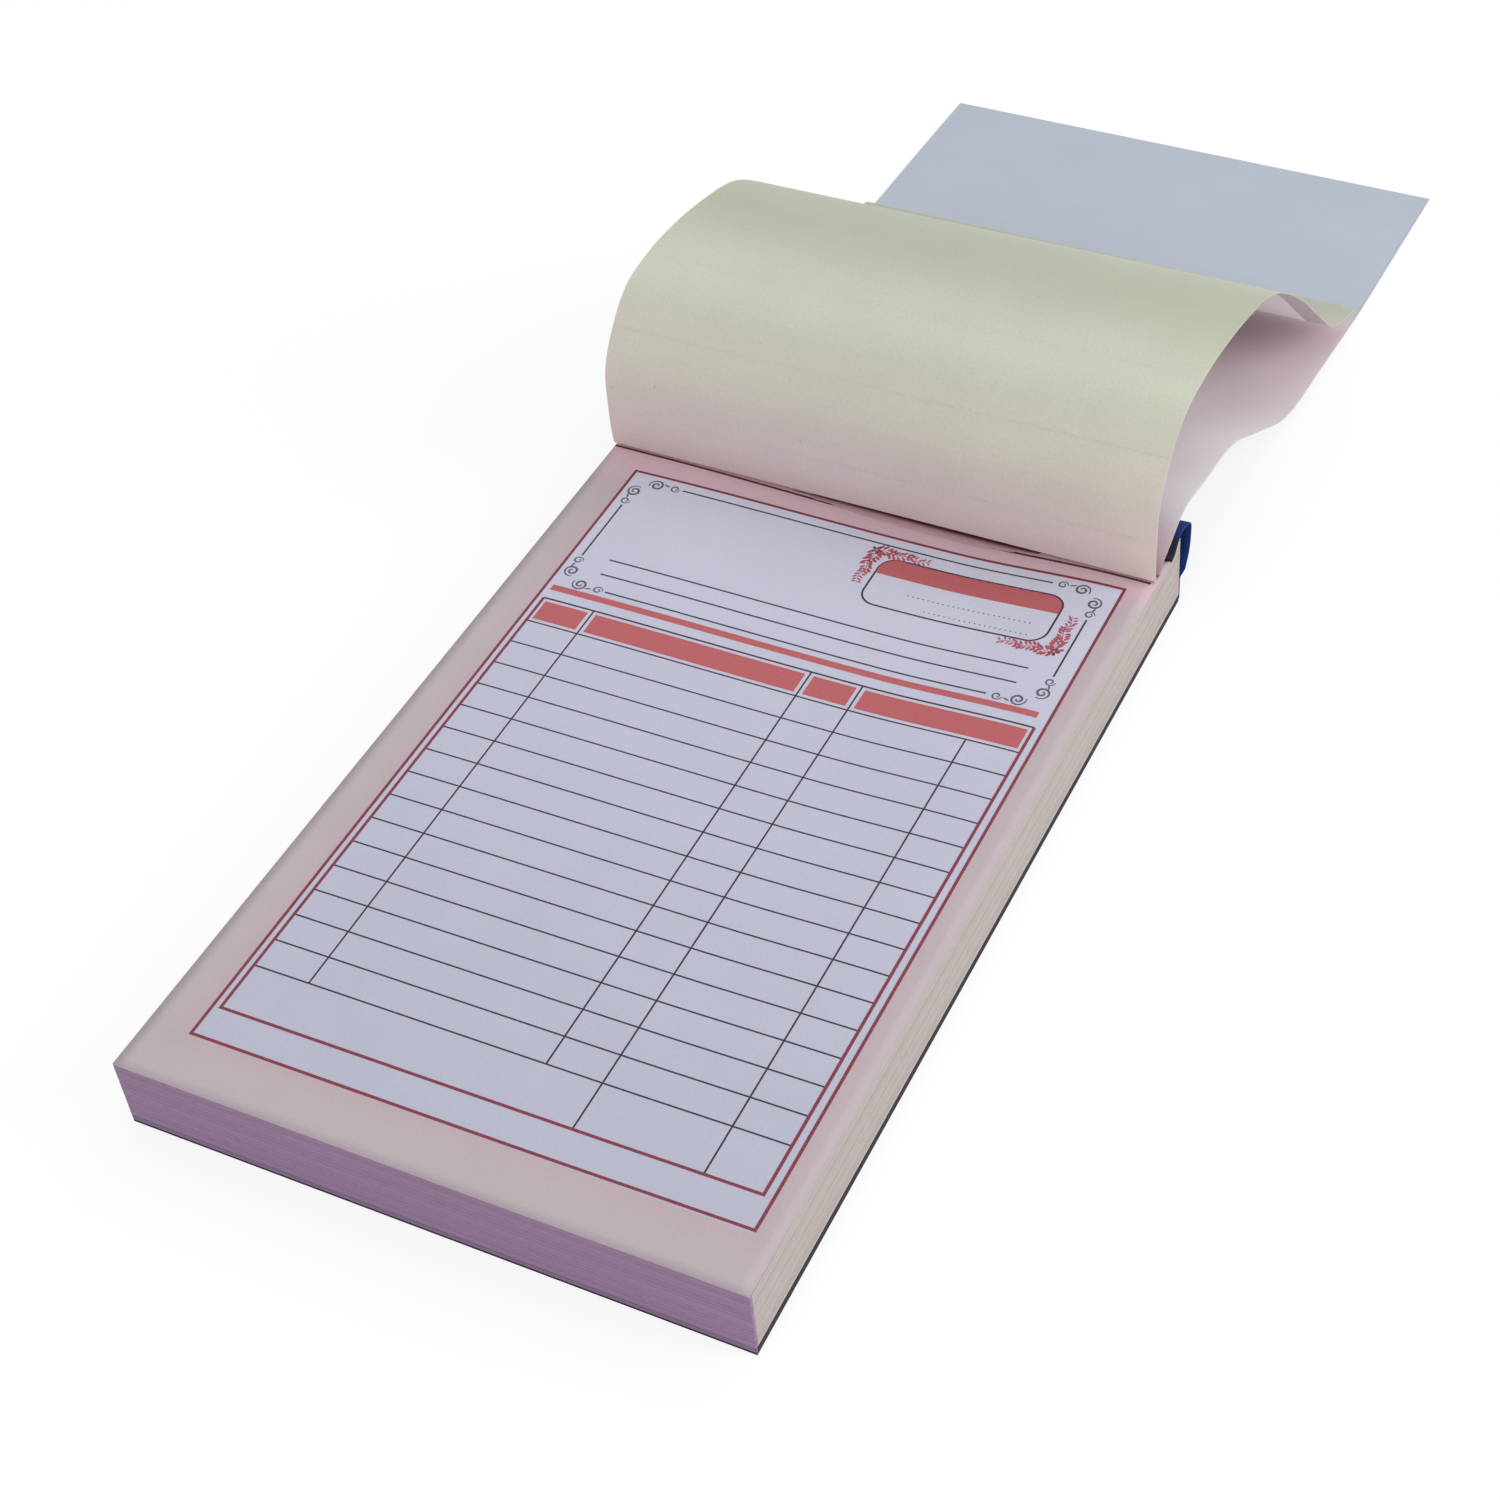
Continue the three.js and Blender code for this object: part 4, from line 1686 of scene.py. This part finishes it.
@dataclass
class PadLeaves:
    """The leaves that stay on the pad: the block, the duplicate leaf and the printed top leaf."""

    block_leaves: int = 84
    seed: int = 41
    leaf_share: float = 0.9
    jog: float = 0.03
    bunch_jog: float = 0.018
    bunch: int = 9
    block_cells: tuple[int, int] = (24, 12)
    cell: float = 2.0
    corner_lift: float = 0.35
    corner_from: tuple[float, float] = (5.0, -66.0)
    corner_over: tuple[float, float] = (50.0, 18.0)
    ink_bite: float = 0.01
    ink_proud: float = 0.02

    def stack_height(self, co: Vector, base: float) -> float:
        """Return the height of a place in the stack once it sags.

        Args:
            co: The place in a flat stack.
            base: The height of the stack's flat foot.

        Returns:
            The sagged height.
        """
        share = (co.z - base) / (PAD.top - base)
        return co.z + share * SAG.height(co.x, co.y)

    def loose_corner(self, x: float, y: float) -> float:
        """Return how far the last leaves spring up at the front right corner, from 0 to 1."""
        across = smooth_step((x - self.corner_from[0]) / self.corner_over[0])
        return across * smooth_step((self.corner_from[1] - y) / self.corner_over[1])

    def build_block(self, edges: bpy.types.Material) -> bpy.types.Object:
        """Build the block as separate thin leaves, knocked up almost square.

        Args:
            edges: The finish of the cut edges.

        Returns:
            The block.
        """
        sections = [name for name in frame["nodes"] if name.startswith("leaf_section")]
        base = min(node_box(name)[0].z for name in sections)
        top = max(node_box(name)[1].z for name in sections)
        pitch = (top - base) / self.block_leaves
        draw = random.Random(self.seed)
        whole = bmesh.new()
        bunch_shift = (0.0, 0.0)
        for i in range(self.block_leaves):
            if i % self.bunch == 0:
                bunch_shift = tuple(draw.uniform(-self.bunch_jog, self.bunch_jog) for _ in range(2))
            dx, dy = (shift + draw.uniform(-self.jog, self.jog) for shift in bunch_shift)
            low = base + i * pitch
            made = add_bar(
                whole, -PAD.half_width + dx, PAD.front + dy, PAD.half_width + dx,
                PAD.bound_edge - abs(dy), self.block_cells,
            )
            faces = list(dict.fromkeys(face for vert in made for face in vert.link_faces))
            bmesh.ops.translate(whole, vec=(0, 0, low), verts=made)
            raise_faces(whole, faces, pitch * self.leaf_share)
        bmesh.ops.recalc_face_normals(whole, faces=whole.faces[:])
        map_vertices(whole, lambda co: Vector((co.x, co.y, self.stack_height(co, base))))
        block = finish_mesh(whole, "leaf_block", [edges])
        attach(block, "pad")
        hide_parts(*sections)
        return block

    def leaf_place(self, co: Vector, spring: float) -> Vector:
        """Return where a flat place of a top leaf lies, with its corner sprung up by some height."""
        lift = spring * self.loose_corner(co.x, co.y)
        return Vector((co.x, co.y, co.z + SAG.height(co.x, co.y) + lift))

    def build_leaf(self, node: str, spring: float, paper: bpy.types.Material) -> bpy.types.Object:
        """Build one of the two leaves that lie on the block.

        Args:
            node: The CAD node that it stands for.
            spring: How far its loose corner springs up.
            paper: Its finish.

        Returns:
            The leaf.
        """
        low, high = node_box(node)
        bm = bmesh.new()
        cells = (round(2 * PAD.half_width / self.cell), round(PAD.length / self.cell))
        add_bar(bm, low.x, low.y, high.x, high.y, cells)
        add_thickness(bm, low.z, high.z)
        add_sheet_map(bm)
        smooth_flats(bm)
        map_vertices(bm, lambda co: self.leaf_place(co, spring))
        leaf = finish_mesh(bm, node + "_sheet", [paper])
        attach(leaf, "pad")
        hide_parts(node)
        return leaf

    def print_form(self, form: PrintedForm,
                   inks: dict[Ink, bpy.types.Material]) -> list[bpy.types.Object]:
        """Print the form on the top leaf.

        Args:
            form: The form, drawn flat.
            inks: The finish of each ink.

        Returns:
            One piece for each ink.
        """
        pieces = []
        for ink in Ink:
            bm = form.copy(ink)
            score(bm, Vector((1, 0, 0)), -PAD.half_width, PAD.half_width, self.cell)
            score(bm, Vector((0, 1, 0)), PAD.front, PAD.bound_edge, self.cell)
            add_thickness(bm, PAD.top - self.ink_bite, PAD.top + self.ink_proud)
            add_sheet_map(bm)
            map_vertices(bm, lambda co: self.leaf_place(co, self.corner_lift))
            piece = finish_mesh(bm, "print_" + ink.name.lower(), [inks[ink]])
            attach(piece, "pad")
            pieces.append(piece)
        return pieces


@dataclass
class SpineTape:
    """The blue cloth tape: a loose loop over the bound edge, glued down the back of the pad."""

    thickness: float = 0.4
    lip: tuple[float, float] = (1.4, 0.45)
    cover_on_top: float = 7.0
    loop_height: float = 3.5
    loop_bulge: float = 3.1
    side_overhang: float = 0.9
    shoulder_share: float = 0.7
    crest_share: float = 0.9
    glue_gap: float = 0.1
    glued_below: float = 7.5
    slack_share: float = 0.75
    slack_depth_share: float = 0.45
    foot: float = 0.4
    ripple: float = 0.14
    ripple_rates: tuple[float, float] = (0.21, 0.53)
    ripple_share: float = 0.6
    ripple_phase: float = 1.3
    loose_over: tuple[float, float] = (4.0, 5.0)
    flush_above_glue: float = 1.0
    flush_over: float = 3.0
    cells: tuple[int, int] = (72, 48)
    # Painted shade in the loop's mouth: how far along the front it reaches, and how wide it is at the
    # tips.
    loop_shade_reach: float = 4.4
    loop_shade_width: float = 1.3

    def line(self) -> SheetLine:
        """Lay the tape's middle line.

        Returns:
            The line, from its lip on the margin to its foot at the back.
        """
        margin_top = node_box("bound_margin")[1].z
        edge = PAD.bound_edge
        glued = edge + self.glue_gap + self.thickness / 2
        lip_z = margin_top + self.glue_gap + self.thickness / 2
        front = edge - self.cover_on_top
        back = edge + self.loop_bulge
        shoulder = self.shoulder_share * self.loop_height
        glued_top = PAD.top - self.glued_below
        crest = (
            front + self.crest_share * self.cover_on_top,
            margin_top + self.loop_height - self.thickness / 2,
        )
        slack = (
            glued + self.slack_share * (back - glued),
            PAD.top - self.slack_depth_share * self.glued_below,
        )
        stops = [
            (front, lip_z), (front + self.lip[0], lip_z + self.lip[1]),
            (edge - self.cover_on_top / 2, lip_z + shoulder), crest,
            (back - self.thickness, PAD.top + shoulder), (back, PAD.top), slack,
            (glued, glued_top), (glued, self.foot),
        ]
        knots = []
        for i, (y, z) in enumerate(stops):
            before, after = stops[max(i - 1, 0)], stops[min(i + 1, len(stops) - 1)]
            heading = math.degrees(math.atan2(after[1] - before[1], after[0] - before[0]))
            knots.append(Knot(y, z, -90.0 if i >= len(stops) - 2 else heading))
        return SheetLine(knots, 0.0)

    def build(self, cloth: bpy.types.Material, loop_shade: bpy.types.Material) -> bpy.types.Object:
        """Build the tape, blue but for painted shade in the loop's mouth, on the underside and at the
        tips of its front.

        Args:
            cloth: The finish of the cloth.
            loop_shade: The near-black finish of the painted shade, on the underside of the front and at
                its tips.

        Returns:
            The tape.
        """
        line = self.line()
        bm = bmesh.new()
        half = PAD.half_width + self.side_overhang
        add_bar(bm, -half, 0, half, line.end, self.cells)
        add_thickness(bm, -self.thickness / 2, self.thickness / 2)
        add_sheet_map(bm)
        loop_end = line.end - PAD.top

        def place(co: Vector) -> Vector:
            """Find where a flat place of the tape lies, with a ripple where it is loose.

            Args:
                co: The flat place.

            Returns:
                The place on the pad.
            """
            point, heading = line.at(co.y)
            first, last = self.loose_over
            free = smooth_step(co.y / first) * (1 - smooth_step((co.y - loop_end) / last))
            slow, fast = (co.x * rate for rate in self.ripple_rates)
            waves = math.sin(slow) + self.ripple_share * math.sin(fast + self.ripple_phase)
            height = co.z + free * self.ripple * waves
            past_loop = co.y - loop_end - self.glued_below + self.flush_above_glue
            flush = smooth_step(past_loop / self.flush_over)
            x = co.x * (1 - flush * self.side_overhang / half)
            y = point.x - math.sin(heading) * height
            z = point.y + math.cos(heading) * height
            return Vector((x, y, z))

        smooth_flats(bm)
        # Painted shade: near-black cloth on the front's underside and at its tips, where the loop's
        # mouth is in shadow.
        for face in bm.faces:
            centre = face.calc_center_median()
            inside = centre.z < -self.thickness / 4 or abs(centre.x) > half - self.loop_shade_width
            face.material_index = 1 if inside and centre.y < self.loop_shade_reach else 0
        map_vertices(bm, place)
        tape = finish_mesh(bm, "cloth_spine_tape", [cloth, loop_shade])
        bpy.context.view_layer.update()
        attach(tape, "pad")
        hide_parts("spine_tape")
        return tape


@dataclass
class ArchedLeaf:
    """The last turned leaf: a high arch over the binding, printed side inwards."""

    strips: int = 7
    thickness: float = 0.12
    root_height: float = 0.06
    sheets: TurnedSheets = field(init=False)

    def __post_init__(self) -> None:
        """Lay the leaf's line."""
        names = ("leaf_turn", *numbered("leaf_bend", 2, self.strips))
        hinge = hinges_of(names)[0]
        root_z = node_box("bound_margin")[0].z + self.root_height - hinge.z
        self.sheets = TurnedSheets(
            joints=names,
            bodies=("pad", *numbered("leaf_strip", 1, self.strips)),
            end_nodes=(f"turned_leaf_{self.strips:02d}",),
            root=(Knot(PAD.bound_edge - hinge.y, root_z, 180.0), Knot(0.3, root_z, 180.0)),
            start_heading=101.0,
            end_heading=-14.0,
            hinge_ease=(0.0, 0.7, 0.78, 0.3, 0.7, 0.5, -0.1, 0.7),
            strip_ease=(-0.35, -0.4, -0.4, -0.25, -0.3, 0.55, 0.72),
            end_share=0.57,
            root_squeeze=0.6,
        )

    def build(self, back: bpy.types.Material, face: bpy.types.Material) -> list[bpy.types.Object]:
        """Build the leaf's pieces.

        Args:
            back: The finish of the side that faces up once the leaf is turned.
            face: The finish of its printed side.

        Returns:
            The pieces, from the crease on.
        """
        pieces = []
        half = self.thickness / 2
        for i, span in enumerate(self.sheets.spans()):
            piece = bend_layers(
                self.sheets, span, [Layer(-half, half)], f"arched_leaf_{i + 1:02d}", [back, face],
            )
            self.sheets.attach(piece, i)
            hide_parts(f"turned_leaf_{i + 1:02d}")
            pieces.append(piece)
        return pieces


@dataclass
class TurnedBundle:
    """The front cover and the used leaves, folded back over the binding and lying behind the pad."""

    strips: int = 5
    cover: Layer = Layer(-0.55, -0.31)
    leaf_thickness: float = 0.055
    leaf_pitch: float = 0.075
    lowest_leaf: float = -0.28
    leaf_count: int = 4
    seed: int = 12
    jog: float = 0.25
    short_by: float = 0.5
    root_height: float = 0.46
    sheets: TurnedSheets = field(init=False)

    def __post_init__(self) -> None:
        """Lay the bundle's line."""
        names = ("cover_turn", *numbered("cover_bend", 2, self.strips))
        hinge = hinges_of(names)[0]
        root_z = node_box("bound_margin")[0].z + self.root_height - hinge.z
        self.sheets = TurnedSheets(
            joints=names,
            bodies=("pad", *numbered("bundle_strip", 1, self.strips)),
            end_nodes=(f"front_cover_{self.strips:02d}", f"used_leaves_{self.strips:02d}"),
            root=(
                Knot(PAD.bound_edge - hinge.y, root_z, 180.0), Knot(0.0, root_z, 180.0),
                Knot(-0.44, root_z / 2, 95.0),
            ),
            start_heading=55.0,
            end_heading=0.0,
            hinge_ease=(0.0, 0.3, 0.3, -0.1, 0.0, 0.0),
            strip_ease=(-0.05, -0.1, 0.1, 0.3, 0.0),
            root_squeeze=0.6,
        )

    def leaves(self) -> list[Layer]:
        """Lay out the used leaves, each a little off square.

        Returns:
            The leaves, from the lowest up.
        """
        draw = random.Random(self.seed)
        made = []
        for i in range(self.leaf_count):
            low = self.lowest_leaf + i * self.leaf_pitch
            shift_x, shift_y = (draw.uniform(-self.jog, self.jog) for _ in range(2))
            made.append(Layer(low, low + self.leaf_thickness, shift_x, shift_y + self.short_by))
        return made

    def build(self, card: bpy.types.Material, blank: bpy.types.Material,
              printed: bpy.types.Material) -> list[bpy.types.Object]:
        """Build the cover's and the used leaves' pieces.

        Args:
            card: The cover's finish.
            blank: The finish of the leaves' side that faces up behind the pad.
            printed: The finish of their other side.

        Returns:
            The pieces, from the crease on.
        """
        pieces = []
        leaves = self.leaves()
        for i, span in enumerate(self.sheets.spans()):
            for stem, layers, node, slot, finishes in (
                ("cover_card", [self.cover], "front_cover", "cover_card", [card, card]),
                ("used_leaf_bundle", leaves, "used_leaves", "used_leaves", [blank, printed]),
            ):
                piece = bend_layers(self.sheets, span, layers, f"{stem}_{i + 1:02d}", finishes)
                self.sheets.attach(piece, i)
                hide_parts(f"{node}_{i + 1:02d}")
                pieces.append(piece)
        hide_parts("used_leaves_01", "bound_margin")
        return pieces


# The stage


@dataclass(frozen=True)
class PhotoCamera:
    """The camera at the photograph's place, with the photograph's lens."""

    place: Vector = Vector((0.173063, -0.269487, 0.327993))
    ahead: Vector = Vector((-0.36821, 0.61912, -0.69362))
    up: Vector = Vector((-0.25537, 0.65000, 0.71574))
    lens: float = 65.7286
    sensor: float = 36.0
    clip_start: float = 0.01

    def build(self) -> None:
        """Build the camera and make it the scene's."""
        data = bpy.data.cameras.new("photo_camera")
        data.lens = self.lens
        data.sensor_width = self.sensor
        data.sensor_fit = "HORIZONTAL"
        data.clip_start = self.clip_start
        camera = bpy.data.objects.new("photo_camera", data)
        back = -self.ahead.normalized()
        right = self.up.cross(back).normalized()
        true_up = back.cross(right)
        turned = Matrix((right, true_up, back)).transposed().to_4x4()
        camera.matrix_world = Matrix.Translation(self.place) @ turned
        bpy.context.scene.collection.objects.link(camera)
        bpy.context.scene.camera = camera


@dataclass(frozen=True)
class Lamp:
    """A soft square lamp that looks at the pad."""

    name: str
    place: Vector
    size: float
    power: float
    colour: Colour = (1.0, 1.0, 1.0)

    def build(self, target: Vector) -> None:
        """Build the lamp.

        Args:
            target: The place that it faces.
        """
        data = bpy.data.lights.new(self.name, "AREA")
        data.size = self.size
        data.energy = self.power
        data.color = self.colour
        lamp = bpy.data.objects.new(self.name, data)
        lamp.location = self.place
        lamp.rotation_euler = (target - self.place).to_track_quat("-Z", "Y").to_euler()
        bpy.context.scene.collection.objects.link(lamp)


@dataclass(frozen=True)
class Studio:
    """A white table in soft even light, stronger from behind and to the right."""

    floor_size: float = 3.0
    floor_drop: float = 0.00002
    sky_strength: float = 0.6
    floor_share: float = 0.75
    floor_glow: float = 1.08
    floor_colour: Colour = (0.82, 0.82, 0.82)
    white: Colour = (1.0, 1.0, 1.0)
    sky_colour: Colour = (0.93, 0.95, 1.0)
    lit_place: Vector = Vector((0.0, 0.05, 0.0))
    lamps: tuple[Lamp, ...] = (
        Lamp("side_light", Vector((1.15, 0.30, 0.62)), 0.8, 8.5, (1.0, 0.985, 0.97)),
        Lamp("front_light", Vector((-0.1, -1.25, 1.3)), 1.1, 8.1, (1.0, 0.99, 0.98)),
        Lamp("rear_light", Vector((0.25, 1.1, 0.9)), 0.9, 3.5, (1.0, 0.98, 0.96)),
    )

    def build(self) -> None:
        """Build the floor, the sky and the lamps."""
        bm = bmesh.new()
        half = self.floor_size / MM / 2
        add_bar(bm, -half, -half, half, half)
        bmesh.ops.translate(bm, vec=(0, 0, -self.floor_drop / MM), verts=bm.verts)
        floor = finish_mesh(bm, "table_top", [self.floor_finish()])
        self.light_sky()
        for lamp in self.lamps:
            lamp.build(self.lit_place)

    def floor_finish(self) -> bpy.types.Material:
        """Make a white table that stays white to the camera but keeps the pad's shadow.

        Returns:
            The material.
        """
        graph = Graph("white_table")
        graph.tree.nodes.remove(graph.shader)
        path = graph.add("ShaderNodeLightPath", output="Is Camera Ray")
        matt = graph.add("ShaderNodeBsdfDiffuse", {}, {"Color": self.floor_colour}, "BSDF")
        shine = {"Color": self.white, "Strength": self.floor_glow}
        glow = graph.add("ShaderNodeEmission", {}, shine, "Emission")
        shaders = {0: path * self.floor_share, 1: matt, 2: glow}
        mixed = graph.add("ShaderNodeMixShader", {}, shaders, "Shader")
        output = next(node for node in graph.tree.nodes if node.type == "OUTPUT_MATERIAL")
        graph.put(output.inputs["Surface"], mixed)
        return graph.material

    def light_sky(self) -> None:
        """Light the scene evenly, with a white background for the camera and for reflections."""
        world = bpy.data.worlds.new("soft_room")
        bpy.context.scene.world = world
        world.use_nodes = True
        nodes, links = world.node_tree.nodes, world.node_tree.links
        nodes.clear()
        path = nodes.new("ShaderNodeLightPath")
        seen = path.outputs["Is Camera Ray"]
        for ray in ("Is Glossy Ray", "Is Transmission Ray"):
            either = nodes.new("ShaderNodeMath")
            either.operation = "MAXIMUM"
            links.new(seen, either.inputs[0])
            links.new(path.outputs[ray], either.inputs[1])
            seen = either.outputs[0]
        light, white = nodes.new("ShaderNodeBackground"), nodes.new("ShaderNodeBackground")
        light.inputs["Color"].default_value = (*self.sky_colour, 1.0)
        light.inputs["Strength"].default_value = self.sky_strength
        mixed, output = nodes.new("ShaderNodeMixShader"), nodes.new("ShaderNodeOutputWorld")
        links.new(seen, mixed.inputs[0])
        links.new(light.outputs[0], mixed.inputs[1])
        links.new(white.outputs[0], mixed.inputs[2])
        links.new(mixed.outputs[0], output.inputs["Surface"])
        white.inputs["Color"].default_value = (*self.white, 1.0)


def dress_node(name: str, material: bpy.types.Material) -> None:
    """Give a CAD node that stays its finish.

    Args:
        name: The node.
        material: The finish.
    """
    node = frame["nodes"][name]
    node.data.materials.clear()
    node.data.materials.append(material)


def report(pieces: Sequence[bpy.types.Object]) -> None:
    """Log each piece's name and how many faces it has."""
    for piece in pieces:
        LOG.info("%s: %d faces", piece.name, len(piece.data.polygons))


def main() -> None:
    """Build the camera, the pad and its turned sheets, and the stage."""
    logging.basicConfig(level=logging.INFO, format="%(name)s: %(message)s")
    PhotoCamera().build()
    bpy.context.scene.view_settings.view_transform = "Standard"

    dress_node("back_board", BoardFinish().make())
    dress_node("backing_sheet", DarkPaperFinish().make())
    wire = WireFinish().make()
    for staple in ("staple_left", "staple_right"):
        dress_node(staple, wire)

    leaves = PadLeaves()
    form = PrintedForm()
    inks = {ink: ink.value.make() for ink in Ink}
    form_paper = FormPaperFinish("form_paper", FORM_PAPER_AND_PAINTED_SHADE).make()
    duplicate_paper = PaperFinish("duplicate_paper", DUPLICATE_TINTS).make()
    report([leaves.build_block(LeafEdgeFinish().make())])
    report([leaves.build_leaf("duplicate_leaf", leaves.corner_lift / 2, duplicate_paper)])
    report([leaves.build_leaf("top_leaf", leaves.corner_lift, form_paper)])
    report(leaves.print_form(form, inks))

    # Near-black cloth for the painted shade in the loop's mouth.
    loop_shade = TapeFinish("gummed_side", thread="1d2234", gap="121624").make()
    report([SpineTape().build(TapeFinish().make(), loop_shade)])
    arch_back = PaperFinish(
        "arch_back_paper", ARCH_BACK_AND_BOUNCE_LIGHT, specks=0.5, glow_through=0.6, tooth=0.2,
    ).make()
    arch_face = FormPaperFinish("arched_form_paper", ARCH_FACE_TINTS, glow_through=0.6).make()
    report(ArchedLeaf().build(arch_back, arch_face))
    bundle_back = PaperFinish("bundle_back_paper", BUNDLE_PAINTED_LIGHT).make()
    card = PaperFinish("cover_card", CARD_TINTS, mottle=0.08, tooth=0.1).make()
    report(TurnedBundle().build(card, bundle_back, form_paper))
    form.free()
    Studio().build()


if __name__ == "__main__":
    main()
